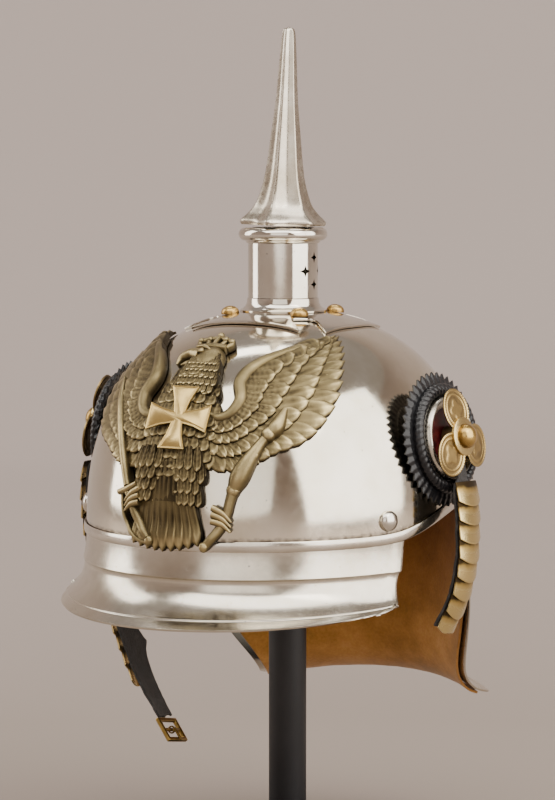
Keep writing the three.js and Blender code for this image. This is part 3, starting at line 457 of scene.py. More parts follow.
# Visor: a steel peak pressed with an upright wall, a sharp ridge, a hollow under it and a roll.
# A turned-over flange, marked by a step line, stiffens its edge. It is polished less than the skull.
VISOR_TOP, VISOR_EDGE, VISOR_CORNER = 69, 62.5, 4
VISOR_CORNER_FROM = 0.86
VISOR_BORDER_FROM, VISOR_BORDER_RISE = 0.955, 0.45
VISOR_PROFILE = [
    # out, z, out at the ends, z at the ends
    (-0.1, -1, -0.1, -1),
    (0.15, -5, 0, -5),
    (0.7, -9.5, 0.3, -9.5),
    (1.5, -13, 0.7, -13),
    (2.25, -15.2, 1.1, -15.2),
    (2.3, -15.7, 1.1, -15.7),
    (1.7, -16.6, 0.8, -16.5),
    (1.55, -18.2, 0.75, -18),
    (2, -20.5, 1, -20),
    (3.1, -23, 1.5, -22.2),
    (4.9, -25.6, 2.4, -24.4),
    (7.2, -28.1, 3.5, -26.4),
    (10, -30.4, 4.8, -28.3),
    (13.2, -32.5, 6.3, -29.9),
    (14.3, -33.1, 6.9, -30.5),
    (14.6, -33.8, 7.1, -31),
    (17.4, -35.3, 8.3, -32),
    (20.5, -37, 9.6, -33),
]


def through(rows, place):
    """A smooth curve through a table's rows, read by a place from 0 to 1."""
    spans = len(rows) - 1
    at = min(max(place, 0), 1) * spans
    i = min(int(at), spans - 1)
    t = at - i
    four = rows[max(i - 1, 0)], rows[i], rows[i + 1], rows[min(i + 2, spans)]
    return [
        b + 0.5 * t * (c - a + t * (2 * a - 5 * b + 4 * c - d + t * (3 * (b - c) + d - a)))
        for a, b, c, d in zip(*four)
    ]


def visor_point(u, v):
    down = 1 - v
    side = 2 * u - 1
    corner = VISOR_EDGE - VISOR_CORNER * (max(0, down - VISOR_CORNER_FROM) / (1 - VISOR_CORNER_FROM)) ** 2
    angle = math.radians(mix(VISOR_TOP, corner, down) * side)
    out, z, end_out, end_z = through(VISOR_PROFILE, down)
    point = skull_at(angle, 0, mix(out, end_out, side ** 2))
    point.z = mix(z, end_z, side ** 2)
    return point


def along_normal(place, offset):
    """The same sheet moved along its own normal."""
    step = 1e-3

    def moved(u, v):
        low_u, high_u = max(u - step, 0), min(u + step, 1)
        low_v, high_v = max(v - step, 0), min(v + step, 1)
        across = place(high_u, v) - place(low_u, v)
        down = place(u, high_v) - place(u, low_v)
        return place(u, v) + offset(u, v) * across.cross(down).normalized()

    return moved


def visor_border(u, v):
    side = abs(2 * u - 1)
    return VISOR_BORDER_RISE / (1 + math.exp(-(side - VISOR_BORDER_FROM) * 420))


visor = sheet_of("visor", 170, 102, along_normal(visor_point, visor_border))
modify(visor, "SOLIDIFY", thickness=STEEL, offset=-1)
soften(visor, 0.3)
visor_nickel = polished_nickel("satin_nickel", "#d6cfc0", "#c2b9a7", 0.16, 0.28, dent=0.1)
settle(visor, visor_nickel, seat=HELMET_SEAT)

# Neck guard: one steel plate raised to a long sweep that hugs the nape and flares out at its lip.
# It is soldered behind the rim band, and its front corners are rounded.
NECK_PROFILE = [
    # z, z at the rear, scale, scale at the rear, y of the side edge
    (13.6, 13.6, 0.993, 0.993, 8),
    (-10, -10, 0.984, 0.975, 26),
    (-35, -35, 0.976, 0.955, 43),
    (-58, -56, 0.97, 0.945, 60),
    (-76, -73, 0.978, 0.955, 73),
    (-87, -83, 1.01, 1.0, 83),
    (-95, -89, 1.08, 1.08, 93),
    (-99, -91.5, 1.19, 1.19, 103),
]
NECK_CORNER_FROM, NECK_CORNER_INSET = 0.88, 4
NECK_FADE = 6


def neck_point(u, v):
    side = 2 * u - 1
    z, rear_z, scale, rear_scale, edge_y = through(NECK_PROFILE, v)
    corner = max(0, v - NECK_CORNER_FROM) / (1 - NECK_CORNER_FROM)
    reach = min((edge_y + NECK_CORNER_INSET * corner ** 2) / (HALF_LENGTH * scale), 0.999)
    angle = math.pi - math.acos(reach) * side
    size = mix(rear_scale, scale, side ** 2)
    drop = (RIM_REAR - rim_edge(angle)) * (1 - v) ** NECK_FADE
    return Vector((
        HALF_WIDTH * size * math.sin(angle),
        -HALF_LENGTH * size * math.cos(angle),
        mix(rear_z, z, side ** 2) - drop,
    ))


LIP_LINE, LIP_RISE = 0.945, 0.5


def lip_rise(u, v):
    side = abs(2 * u - 1)
    edge = max(1 / (1 + math.exp(-(v - LIP_LINE) * 260)), 1 / (1 + math.exp(-(side - 0.972) * 420)))
    return LIP_RISE * edge


neck_guard = sheet_of("neck_guard", 96, 90, along_normal(neck_point, lip_rise))
modify(neck_guard, "SOLIDIFY", thickness=STEEL, offset=-1)
soften(neck_guard, 0.3)
neck_nickel = polished_nickel("neck_nickel", "#d6cfc1", "#c2b8a6", 0.14, 0.28, dent=0.12)
settle(neck_guard, neck_nickel, seat=HELMET_SEAT)

# Neck lining: a skin of tan suede glued inside the neck guard, short of its edge all round.
# Years of wear have mottled it, and painted shade darkens it towards the skull, leaving it paler at the lip.
LINING_GAP, LINING_THICK = 0.8, 1.6
LINING_TOP, LINING_BOTTOM, LINING_SIDE = 0.02, 0.92, 0.95


def lining_point(u, v):
    side = (2 * u - 1) * LINING_SIDE
    return neck_point((side + 1) / 2, mix(LINING_TOP, LINING_BOTTOM, v))


def lining_inset(u, v):
    pucker = 0.25 * noise.noise(Vector((u * 14, v * 9, 3.1)))
    return -STEEL - LINING_GAP - 0.3 - pucker


def tan_suede():
    """Vegetable-tanned suede: a dull nap that scatters light, ochre with brown stains and rubs."""
    material, shader = blank("tan_suede", Sheen_Weight=0.25, Sheen_Roughness=0.5, Specular_IOR_Level=0.2)
    where = node(material, "ShaderNodeTexCoord").outputs["Object"]
    stains = node(material, "ShaderNodeTexNoise", {"Vector": where}, Scale=per(32), Detail=7, Roughness=0.62)
    nap = node(material, "ShaderNodeTexNoise", {"Vector": where}, Scale=per(1.4), Detail=4)
    tone = node(material, "ShaderNodeValToRGB", {"Fac": stains.outputs["Fac"]},
                stops=[(0.25, "#a9742f"), (0.45, "#c48d42"), (0.6, "#d5a253"), (0.78, "#e2b86f")])
    fleck = node(material, "ShaderNodeMixRGB", {"Fac": nap.outputs["Fac"], "Color1": tone.outputs["Color"]},
                 blend_type="OVERLAY", Color2=linear("#8d8d8d"))
    # Painted shade: this attribute darkens the suede towards the skull, deep under the neck guard.
    depth = node(material, "ShaderNodeAttribute", attribute_name="wear")
    shaded = node(material, "ShaderNodeMixRGB",
                  {"Fac": depth.outputs["Fac"], "Color1": fleck.outputs["Color"]},
                  blend_type="MULTIPLY", Color2=linear("#b08d63"))
    bump = node(material, "ShaderNodeBump", {"Height": nap.outputs["Fac"]}, Strength=0.5, Distance=0.0004)
    link = material.node_tree.links.new
    link(shaded.outputs["Color"], shader.inputs["Base Color"])
    link(bump.outputs["Normal"], shader.inputs["Normal"])
    shader.inputs["Roughness"].default_value = 0.95
    return material


lining = sheet_of("neck_lining", 80, 80, along_normal(lining_point, lining_inset))
modify(lining, "SOLIDIFY", thickness=LINING_THICK - 0.3, offset=-1)
soften(lining, 0.4)
# Painted shade, darkest towards the skull and none at the lip.
paint(lining, "wear", lambda point: min(max((point.z + 60) / 75, 0), 1))
settle(lining, tan_suede(), seat=HELMET_SEAT, smooth=60)

# Spike base: a square plate with bowed sides, dished to the crown, with a slot on each diagonal.
# A coved collar stands on it. It is cut from sheet, its edge left bright by the file.
PLATE_REACH, PLATE_BOW, PLATE_BORE = 39.5, 2.5, 12
PLATE_LIFT, PLATE_THICK = 0.5, 1.2
SLOT_WIDTH, SLOT_FROM, SLOT_LONG, SLOT_DEEP = 13.4, 32.5, 30, 40
QUARTERS = [math.radians(45 + 90 * i) for i in range(4)]


def crown_height(x, y, lift):
    share = math.hypot(x / HALF_WIDTH, y / HALF_LENGTH)
    return (CROWN + lift) * (1 - share ** POWER) ** (1 / POWER)


def plate_point(u, v):
    angle = 2 * math.pi * u
    square = PLATE_REACH / max(abs(math.cos(angle)), abs(math.sin(angle)))
    radius = mix(PLATE_BORE, square + PLATE_BOW * math.cos(2 * angle) ** 2, v)
    x = radius * math.sin(angle)
    y = -radius * math.cos(angle)
    return Vector((x, y, crown_height(x, y, PLATE_LIFT + PLATE_THICK)))


def cut(piece, tool):
    """Takes one solid away from another."""
    modify(piece, "BOOLEAN", operation="DIFFERENCE", object=tool, solver="EXACT")
    bpy.data.objects.remove(tool)


def reversed_v(place):
    return lambda u, v: place(u, 1 - v)


spike_nickel = polished_nickel("bright_nickel", "#dfd9cd", "#cdc4b4", 0.06, 0.16, dent=0.06)
plate = sheet_of("spike_base", 160, 12, reversed_v(plate_point), closed=True)
modify(plate, "SOLIDIFY", thickness=PLATE_THICK, offset=-1)
for turn in QUARTERS:
    bpy.ops.object.select_all(action="DESELECT")
    bpy.ops.mesh.primitive_cube_add(size=1)
    slot_tool = bpy.context.object
    slot_middle = SLOT_FROM + SLOT_LONG / 2
    slot_tool.data.transform(Matrix.Diagonal((SLOT_WIDTH, SLOT_LONG, SLOT_DEEP, 1)))
    slot_tool.data.transform(Matrix.Translation((0, -slot_middle, CROWN)))
    slot_tool.data.transform(Matrix.Rotation(turn, 4, "Z"))
    soften(slot_tool, 4, 5)
    cut(plate, slot_tool)
soften(plate, 0.3)
collar_rows = [
    (PLATE_BORE, CROWN + 0.6), (21.6, CROWN + 0.6), (21.8, CROWN + 1.4), (20.4, CROWN + 2.1),
    (19, CROWN + 3.3), (18.2, CROWN + 5), (18, CROWN + 7.3), (17.8, CROWN + 7.5),
    (PLATE_BORE, CROWN + 7.5), (PLATE_BORE, CROWN + 0.6),
]
cove = turned("cove", collar_rows)


def join(whole, *others):
    """Joins finished pieces into the first one."""
    bpy.ops.object.select_all(action="DESELECT")
    for other in others:
        other.select_set(True)
    whole.select_set(True)
    bpy.context.view_layer.objects.active = whole
    bpy.ops.object.join()


join(plate, cove)
settle(plate, spike_nickel, seat=HELMET_SEAT)

# Base studs: four domed brass nuts that clamp the spike's base to the crown, one on each diagonal.
# They are turned from bar and rubbed, with brown tarnish round their feet.
STUD_PLACE, STUD_RADIUS, STUD_HEIGHT, STUD_CROWN = 19.4, 4.5, 4, 350


def rubbed_brass(name, bright, dull, deep, rough_from=0.24, rough_to=0.45):
    """Old brass: pale gold where it is rubbed, browner in hollows, with small dark tarnish spots.
    The crest attribute is 1 on high places and 0 in hollows."""
    material, shader = blank(name, Metallic=1)
    where = node(material, "ShaderNodeTexCoord").outputs["Object"]
    patches = node(material, "ShaderNodeTexNoise", {"Vector": where}, Scale=per(7), Detail=6, Roughness=0.65)
    crest = node(material, "ShaderNodeAttribute", attribute_name="crest")
    spread = node(material, "ShaderNodeMath", {0: patches.outputs["Fac"]}, operation="MULTIPLY_ADD")
    spread.inputs[1].default_value = 0.7
    spread.inputs[2].default_value = -0.35
    height = node(material, "ShaderNodeMath", {0: crest.outputs["Fac"], 1: spread.outputs["Value"]},
                  operation="ADD")
    tone = node(material, "ShaderNodeValToRGB", {"Fac": height.outputs["Value"]},
                stops=[(0.05, deep), (0.45, dull), (0.85, bright)])
    fine = node(material, "ShaderNodeTexNoise", {"Vector": where}, Scale=per(1.1), Detail=5)
    rough = node(material, "ShaderNodeMapRange", {"Value": height.outputs["Value"]})
    rough.inputs["To Min"].default_value = rough_to
    rough.inputs["To Max"].default_value = rough_from
    bump = node(material, "ShaderNodeBump", {"Height": fine.outputs["Fac"]}, Strength=0.22, Distance=0.0002)
    link = material.node_tree.links.new
    link(tone.outputs["Color"], shader.inputs["Base Color"])
    link(rough.outputs["Result"], shader.inputs["Roughness"])
    link(bump.outputs["Normal"], shader.inputs["Normal"])
    return material


def dome_rows(radius, height, steps=10, foot=0.0):
    """Profile of a domed head on a short straight foot."""
    rows = [(0, 0), (radius, 0)]
    for i in range(steps + 1):
        angle = i / steps * math.pi / 2
        rows.append((radius * math.cos(angle) if i < steps else 0, foot + (height - foot) * math.sin(angle)))
    return rows


stud_brass = rubbed_brass("stud_brass", "#c8a866", "#a5834a", "#5b4526")
for i, (side_x, side_y) in enumerate([(1, -1), (-1, -1), (-1, 1), (1, 1)]):
    stud = turned(f"base_stud_{i + 1}", dome_rows(STUD_RADIUS, STUD_HEIGHT, foot=0.7), steps=40)
    paint(stud, "crest", lambda point: 0.25 + 0.75 * point.z / STUD_HEIGHT)
    x, y = side_x * STUD_PLACE, side_y * STUD_PLACE
    lean = Vector((x, y, STUD_CROWN)).to_track_quat("Z", "Y").to_matrix().to_4x4()
    place = Matrix.Translation((x, y, crown_height(x, y, 0) + PLATE_LIFT + PLATE_THICK))
    settle(stud, stud_brass, seat=HELMET_SEAT @ place @ lean)

# Spike neck: a polished tube with four star-shaped vents pierced in each side.
# It screws on the base's collar and carries a half-round ring and the spike.
NECK_OUTER, NECK_INNER, NECK_LOW, NECK_HIGH = 17.5, 15.5, 111.7, 138.7
VENT_Z, VENT_REACH, VENT_SIZE, VENT_WAIST = 125, 6.7, 2.9, 1.25

neck_tube = turned("spike_neck", [
    (NECK_INNER, NECK_LOW), (NECK_OUTER, NECK_LOW), (NECK_OUTER, NECK_HIGH), (NECK_INNER, NECK_HIGH),
    (NECK_INNER, NECK_LOW),
], steps=120)
for across, up in [(0, 1), (0, -1), (1, 0), (-1, 0)]:
    bpy.ops.object.select_all(action="DESELECT")
    bpy.ops.mesh.primitive_cylinder_add(vertices=8, radius=VENT_SIZE, depth=60, rotation=(0, math.pi / 2, 0))
    bpy.ops.object.transform_apply(location=False, rotation=True, scale=False)
    vent_tool = bpy.context.object
    for vertex in vent_tool.data.vertices:
        angle = math.atan2(vertex.co.z, vertex.co.y)
        spoke = round(angle / (math.pi / 4))
        radius = VENT_SIZE if spoke % 2 == 0 else VENT_WAIST
        vertex.co.y = radius * math.cos(angle) + across * VENT_REACH
        vertex.co.z = radius * math.sin(angle) + VENT_Z + up * VENT_REACH
    cut(neck_tube, vent_tool)
settle(neck_tube, spike_nickel, seat=HELMET_SEAT)

RING_OUTER, RING_LOW = 22.3, 138.8
RING_ROUND = 3.3
ring_rows = [(NECK_INNER, RING_LOW), (18.4, RING_LOW), (18.7, RING_LOW + 0.8)]
for i in range(13):
    angle = (i / 12 - 0.5) * math.pi
    ring_rows.append((
        RING_OUTER - RING_ROUND + RING_ROUND * math.cos(angle),
        RING_LOW + 4.4 + RING_ROUND * math.sin(angle),
    ))
ring_rows += [(NECK_INNER, RING_LOW + 4.4 + RING_ROUND), (NECK_INNER, RING_LOW)]
collar_ring = turned("spike_collar", ring_rows, steps=120)
settle(collar_ring, spike_nickel, seat=HELMET_SEAT, smooth=30)

# Spike: a hollow-faced, six-sided steel spike, forged and filed, with a flared skirt and a blunt tip.
# It leans a little, and its satin surface is pitted with small dark specks.
SPIKE_LOW, SPIKE_SIDES, SPIKE_HOLLOW, SPIKE_TURN = 146.9, 6, 0.1, 37
SPIKE_LEAN, SPIKE_LEAN_TO = math.radians(1.75), math.radians(29)
SPIKE_SECTIONS = [
    # height, radius at the corners
    (146.9, 21.6), (149, 22.2), (153, 18), (158, 14.3), (168, 11), (178, 9.3), (189, 8), (209, 5.8),
    (230, 4.4), (242, 3.4), (244.6, 2.2),
]


def spike_point(u, v):
    if v > 0.995:
        return Vector((0, 0, SPIKE_SECTIONS[-1][0] + 0.7 - SPIKE_LOW))
    z, corner = through(SPIKE_SECTIONS, v / 0.98)
    angle = 2 * math.pi * u
    half = math.pi / SPIKE_SIDES
    share = (angle % (2 * half)) / (2 * half)
    flat = math.cos(half) / math.cos((share - 0.5) * 2 * half)
    hollow = 1 - SPIKE_HOLLOW * math.sin(share * math.pi) ** 1.5
    radius = min(corner * flat * hollow, corner * 0.975)
    return Vector((radius * math.sin(angle), -radius * math.cos(angle), z - SPIKE_LOW))


spike = sheet_of("spike", 120, 100, spike_point, closed=True)
bpy.ops.object.mode_set(mode="EDIT")
bpy.ops.mesh.select_all(action="DESELECT")
bpy.ops.mesh.select_non_manifold()
bpy.ops.mesh.edge_face_add()
bpy.ops.object.mode_set(mode="OBJECT")
spike_steel = polished_nickel("spike_nickel", "#cfc7b8", "#a99e8c", 0.2, 0.38, dent=0.05)
lean_axis = Vector((-math.sin(SPIKE_LEAN_TO), math.cos(SPIKE_LEAN_TO), 0))
spike_seat = Matrix.Translation((0, 0, SPIKE_LOW + SPIKE_SECTIONS[0][1] * math.sin(SPIKE_LEAN)))
spike_seat = spike_seat @ Matrix.Rotation(SPIKE_LEAN, 4, lean_axis)
spike_seat = spike_seat @ Matrix.Rotation(math.radians(SPIKE_TURN - 180 / SPIKE_SIDES), 4, "Z")
settle(spike, spike_steel, seat=HELMET_SEAT @ spike_seat, smooth=25)

# Eagle plate: one bronze casting of an eagle with spread wings, a crown, a sabre and a sceptre.
# It is chased feather by feather, bent to the skull and held by two hidden screws.
EAGLE_TILT, EAGLE_RADIUS = math.radians(32), 103
EAGLE_FOOT, EAGLE_STEP, STEP_FROM, STEP_TO = 0.5, 1.5, -47, -53
WING_LEAD = [(10, 6), (17, 1), (24, 3.5), (27, 11.4), (24, 20.6), (28, 31), (39.5, 45), (52, 60)]
WING_TIPS = [(12, -22), (30, -22), (40, -18), (52, -7), (65, 5), (70, 26), (66, 46), (60, 61), (53, 70)]
FEATHER_ROWS = [
    # feathers, from, to, width, height at the quill, height at the tip, slant to the wing's tip
    (22, 0.3, 1.0, 1.4, 0.7, 1.6, 0.36),
    (20, 0.24, 0.74, 1.3, 1.5, 2.4, 0.26),
    (17, 0.1, 0.5, 1.25, 2.2, 3.1, 0.14),
    (15, 0.0, 0.3, 1.3, 2.7, 3.6, 0.06),
]
BODY_SIDE = [(7, 28), (13, 16), (18, 2), (18, -14), (16, -26), (17, -38)]
casting_points, casting_faces, casting_crests = [], [], []


def on_skull(across, up, height):
    """A point of the eagle's flat drawing, in millimetres from its breast, laid on the skull."""
    distance = math.hypot(across, up) / EAGLE_RADIUS
    heading = math.atan2(across, up)
    rise = math.sin(distance) * math.cos(heading)
    direction = Vector((
        math.sin(distance) * math.sin(heading),
        -math.cos(EAGLE_TILT) * math.cos(distance) + math.sin(EAGLE_TILT) * rise,
        math.sin(EAGLE_TILT) * math.cos(distance) + math.cos(EAGLE_TILT) * rise,
    ))
    over = min(max((STEP_FROM - up) / (STEP_FROM - STEP_TO), 0), 1)
    return skull_along(direction, EAGLE_FOOT + EAGLE_STEP * over * over * (3 - 2 * over) + height)


def pillow(columns, rows, place):
    """One closed patch of the casting. place(u, v) gives across, up, height and crest."""
    start = len(casting_points)
    layer = (columns + 1) * (rows + 1)
    for top in (True, False):
        for j in range(rows + 1):
            for i in range(columns + 1):
                across, up, height, crest = place(i / columns, j / rows)
                casting_points.append(on_skull(across, up, height if top else 0))
                casting_crests.append(crest if top else 0)
    at = lambda i, j, foot=0: start + foot * layer + j * (columns + 1) + i
    for j in range(rows):
        for i in range(columns):
            casting_faces.append((at(i, j), at(i + 1, j), at(i + 1, j + 1), at(i, j + 1)))
            casting_faces.append((at(i, j + 1, 1), at(i + 1, j + 1, 1), at(i + 1, j, 1), at(i, j, 1)))
    for i in range(columns):
        casting_faces.append((at(i + 1, 0), at(i, 0), at(i, 0, 1), at(i + 1, 0, 1)))
        casting_faces.append((at(i, rows), at(i + 1, rows), at(i + 1, rows, 1), at(i, rows, 1)))
    for j in range(rows):
        casting_faces.append((at(0, j), at(0, j + 1), at(0, j + 1, 1), at(0, j, 1)))
        casting_faces.append((at(columns, j + 1), at(columns, j), at(columns, j, 1), at(columns, j + 1, 1)))


def feather(base, tip, width, low, high, bend=0.0, point=0.3):
    """A feather: narrow at the quill, round at the tip, with a raised shaft and grooved vanes."""
    way = tip - base
    right = Vector((way.y, -way.x)).normalized()

    def place(u, v):
        x = 2 * u - 1
        girth = 0.5 + 0.5 * math.sin(min(v / 0.6, 1) * math.pi / 2)
        if v > 1 - point:
            girth *= math.sqrt(max(1 - ((v - 1 + point) / point) ** 2, 0.002))
        spot = base + way * v + right * (bend * math.sin(math.pi * v) + x * width / 2 * girth)
        shaft = math.exp(-(x / 0.2) ** 2)
        rim = math.exp(-(((abs(x) ** 4 + v ** 8) ** 0.25 - 0.84) / 0.14) ** 2)
        barbs = 0.08 * math.sin(v * way.length * 2.6 + abs(x) * 3.4)
        height = mix(low, high, v) + 0.45 * (1 - x ** 4) + 0.3 * rim + 0.2 * shaft + barbs * (1 - shaft)
        crest = 0.08 + 0.2 * v + 0.6 * rim * v + 0.2 * shaft - 0.3 * x ** 8 + barbs
        return spot.x, spot.y, max(height, 0.3), crest

    pillow(10, 14, place)


def rod(route, widths, rise, crest=0.6, columns=8, rows=24):
    """A half-round bar along a route, with its width read from a short table."""
    def place(u, v):
        here = Vector(through(route, v))
        ahead = Vector(through(route, min(v + 0.01, 1))) - Vector(through(route, max(v - 0.01, 0)))
        right = Vector((ahead.y, -ahead.x)).normalized()
        half = through(widths, v)[0] / 2
        x = 2 * u - 1
        spot = here + right * x * half
        dome = math.sqrt(max(1 - x * x, 0))
        return spot.x, spot.y, rise + half * 0.9 * dome, crest * (0.35 + 0.65 * dome)
    pillow(columns, rows, place)


def button(middle, radius, rise, tall, crest=0.75):
    """A round raised knob."""
    def place(u, v):
        turn = 2 * math.pi * u
        reach = radius * (1 - v)
        dome = math.sqrt(max(1 - (1 - v) ** 2, 0))
        spot = Vector(middle) + Vector((math.cos(turn), math.sin(turn))) * reach
        return spot.x, spot.y, rise + tall * dome, crest * (0.3 + 0.7 * dome)
    pillow(16, 6, place)


def flipped(point, side):
    return Vector((side * point[0], point[1]))


def wing(side):
    def bed(u, v):
        spot = flipped(through(WING_LEAD, u), side).lerp(flipped(through(WING_TIPS, u), side), v * 0.93)
        return spot.x, spot.y, 1.1 + 1.6 * (1 - v), 0.05
    pillow(28, 6, bed)
    def spot_at(u, v):
        return flipped(through(WING_LEAD, u), side).lerp(flipped(through(WING_TIPS, u), side), v)
    for row, (count, start, stop, width, low, high, slant) in enumerate(FEATHER_ROWS):
        for k in range(count):
            u = (k + 0.3 + 0.4 * (row % 2)) / count
            spacing = (spot_at(u + 0.5 / count, stop) - spot_at(u - 0.5 / count, stop)).length
            base, tip = spot_at(u * (1 - slant), start), spot_at(u, stop)
            feather(base, tip, max(spacing, 2.4) * width, low, high, bend=side * 1.2)
    lead_line = [tuple(flipped(point, side)) for point in WING_LEAD]
    rod(lead_line, [(3,), (4,), (5.4,), (6.4,), (7,), (6,), (4,), (1.6,)], 2.4, crest=0.6, rows=48)


def body_height(x):
    return 1.5 + 3.4 * math.sqrt(max(1 - x * x, 0))


def body_bed(u, v):
    half, up = through(BODY_SIDE, v)
    x = 2 * u - 1
    return x * half + 0.5, up, body_height(x), 0.08


wing(1)
wing(-1)
pillow(14, 24, body_bed)
TAIL_FEATHERS = 9
for k in range(TAIL_FEATHERS):
    fan = (k - (TAIL_FEATHERS - 1) / 2) / ((TAIL_FEATHERS - 1) / 2)
    base = Vector((-1.5 + fan * 7, -21))
    tip = Vector((-2.5 + fan * 20, -60.5 + 3.5 * fan * fan))
    feather(base, tip, 7, 5.6 - 0.8 * abs(fan), 2.4 - 0.8 * abs(fan), point=0.16)
BREAST_ROWS = 12
for row in range(BREAST_ROWS):
    share = row / (BREAST_ROWS - 1)
    half, up = through(BODY_SIDE, 0.04 + share * 0.72)
    count = max(4, round(2 * half / 5))
    for k in range(count + row % 2):
        x = (2 * (k + 0.5 * (1 - row % 2)) / count - 1) * 0.94
        low = body_height(x)
        middle = Vector((x * half + 0.5, up))
        wide = 2 * half / count * 1.25
        feather(middle + Vector((0, 3)), middle - Vector((0, 4)), wide, low - 0.3, low + 0.6)
LEGS = [((-10, -14), (-14, -36)), ((9, -14), (11, -37))]
for hip, ankle in LEGS:
    hip, ankle = Vector(hip), Vector(ankle)
    for row in range(4):
        for k in range(4):
            x = (k + 0.5 * (row % 2) - 1.75) / 1.75
            middle = hip.lerp(ankle, row / 4.6) + Vector((x * (6.6 - 0.6 * row), 0))
            lift = 4.6 - 0.5 * row + 1.8 * (1 - x * x)
            feather(middle, middle + (ankle - hip) * 0.46 + Vector((x, 0)), 4.4, lift, lift + 0.5, point=0.3)
HEAD_MIDDLE = Vector((2.5, 29.5))


def head_bed(u, v):
    turn = 2 * math.pi * u
    spot = HEAD_MIDDLE + Vector((math.cos(turn) * 8.4, math.sin(turn) * 8.6)) * (1 - v)
    dome = math.sqrt(max(1 - (1 - v) ** 2, 0))
    return spot.x, spot.y, 2 + 4.2 * dome, 0.3 + 0.35 * dome


pillow(28, 8, head_bed)
for row in range(5):
    for k in range(7):
        x = (k + 0.5 * (row % 2) - 3.25) / 3.5
        middle = Vector((3 + x * (6.6 + row), 29 - row * 3.6))
        feather(middle + Vector((0, 3)), middle + Vector((x, -4.6)), 2.9, 4.6, 5.4)
rod([(-2.5, 32), (-8, 33), (-12.6, 30.6), (-13.4, 26.4)], [(7,), (5.4,), (3.6,), (0.9,)], 3.4, crest=0.85)
rod([(-3.5, 27.6), (-8, 27.4), (-11.2, 26.4)], [(4,), (2.8,), (0.9,)], 2.8, crest=0.7)
button((-1.4, 32.4), 1.5, 6, 1.0, crest=0.9)
rod([(-5.4, 35), (-1.5, 35.4), (3, 33.4)], [(1.2,), (2.2,), (0.8,)], 5.6, crest=0.8)
CROWN_AT, CROWN_SIZE = Vector((0.6, 37)), 0.8
CROWN_HOOPS = [
    # foot, elbow
    ((-9, 1.6), (-11, 6.6)), ((-4.2, 2.6), (-5.2, 8)), ((4.4, 2.6), (5.8, 8.2)), ((9.2, 1.6), (11, 6.6)),
]


def on_crown(x, y):
    return tuple(CROWN_AT + CROWN_SIZE * Vector((x, y)))


rod([on_crown(-9.6, 0), on_crown(0, 1.4), on_crown(10, 0.8)], [(3.4,), (3.6,), (3.4,)], 3.2, crest=0.6)
for hoop_foot, elbow in CROWN_HOOPS:
    rod([on_crown(*hoop_foot), on_crown(*elbow), on_crown(0, 11)], [(2.4,), (2.8,), (2,)], 2.6,
        crest=0.7, rows=14)
    button(on_crown(*elbow), 1.5, 3.4, 1.2, crest=0.8)
rod([on_crown(0, 2), on_crown(0, 6), on_crown(0, 11)], [(2.6,), (2.6,), (2.2,)], 3, crest=0.7, rows=10)
button(on_crown(0, 12), 1.8, 3, 1.6, crest=0.9)
SABRE = [(-51.5, 26), (-45, 13), (-38.6, 0), (-32.4, -15), (-26.6, -31)]
rod(SABRE, [(0.9,), (3.4,), (4,), (4,), (4.2,)], 3.4, crest=0.85, rows=40)
rod([(-32.6, -33.6), (-26, -32.6), (-19.6, -30.4)], [(2.6,), (3.4,), (2.6,)], 4, crest=0.8)
rod([(-26, -34), (-19.4, -45), (-11.4, -54.4)], [(3.4,), (4.6,), (3.4,)], 3.6, crest=0.7)
rod([(-31, -34.4), (-29.6, -44), (-21, -54), (-12, -57)], [(1.8,), (2,), (2,), (1.8,)], 2.8, crest=0.75)
button((-10.6, -55.8), 2.6, 3.4, 1.8, crest=0.9)
SCEPTRE = [(48.6, 11.4), (47.3, 2.2), (43, -5.4), (36, -22.4), (33.3, -31.7), (30.4, -45), (22.3, -56)]
SCEPTRE_WIDTHS = [(2.4,), (7.4,), (4.6,), (9.4,), (5.4,), (5,), (4,)]
rod(SCEPTRE, SCEPTRE_WIDTHS, 3.6, crest=0.75, rows=60)
for spot, size in [((44.6, -2.4), 3.3), ((40, -13), 3), ((33.6, -30), 3.2), ((21.6, -56.6), 2.4)]:
    button(spot, size, 4.6, 1.8, crest=0.9)
for grip, way in [((-23, -37), -1), ((31, -43), 1)]:
    for k in range(3):
        start = Vector(grip) + Vector((-way * 6.5, 4.2 - 3 * k))
        knuckle = (grip[0] - way, grip[1] + 2.2 - 2.4 * k)
        claw_tip = (grip[0] + way * 3.6, grip[1] - 1 - 2.2 * k)
        rod([tuple(start), knuckle, claw_tip], [(3,), (2.9,), (1,)], 5.2, crest=0.85, rows=12)


def patinated_bronze():
    """Cast bronze with a brown patina: dark in the hollows, rubbed to dull gold on raised edges."""
    material, shader = blank("patinated_bronze", Metallic=1)
    where = node(material, "ShaderNodeTexCoord").outputs["Object"]
    crest = node(material, "ShaderNodeAttribute", attribute_name="crest")
    patches = node(material, "ShaderNodeTexNoise", {"Vector": where}, Scale=per(9), Detail=5)
    spread = node(material, "ShaderNodeMath", {0: patches.outputs["Fac"]}, operation="MULTIPLY_ADD")
    spread.inputs[1].default_value = 0.5
    spread.inputs[2].default_value = -0.25
    height = node(material, "ShaderNodeMath", {0: crest.outputs["Fac"], 1: spread.outputs["Value"]},
                  operation="ADD")
    tone = node(material, "ShaderNodeValToRGB", {"Fac": height.outputs["Value"]},
                stops=[(0.05, "#352d20"), (0.3, "#64583e"), (0.58, "#7a6d4d"), (0.95, "#bba97c")])
    rough = node(material, "ShaderNodeMapRange", {"Value": height.outputs["Value"]})
    rough.inputs["To Min"].default_value = 0.6
    rough.inputs["To Max"].default_value = 0.3
    grain = node(material, "ShaderNodeTexNoise", {"Vector": where}, Scale=per(0.9), Detail=4)
    bump = node(material, "ShaderNodeBump", {"Height": grain.outputs["Fac"]}, Strength=0.3, Distance=0.0003)
    link = material.node_tree.links.new
    link(tone.outputs["Color"], shader.inputs["Base Color"])
    link(rough.outputs["Result"], shader.inputs["Roughness"])
    link(bump.outputs["Normal"], shader.inputs["Normal"])
    return material


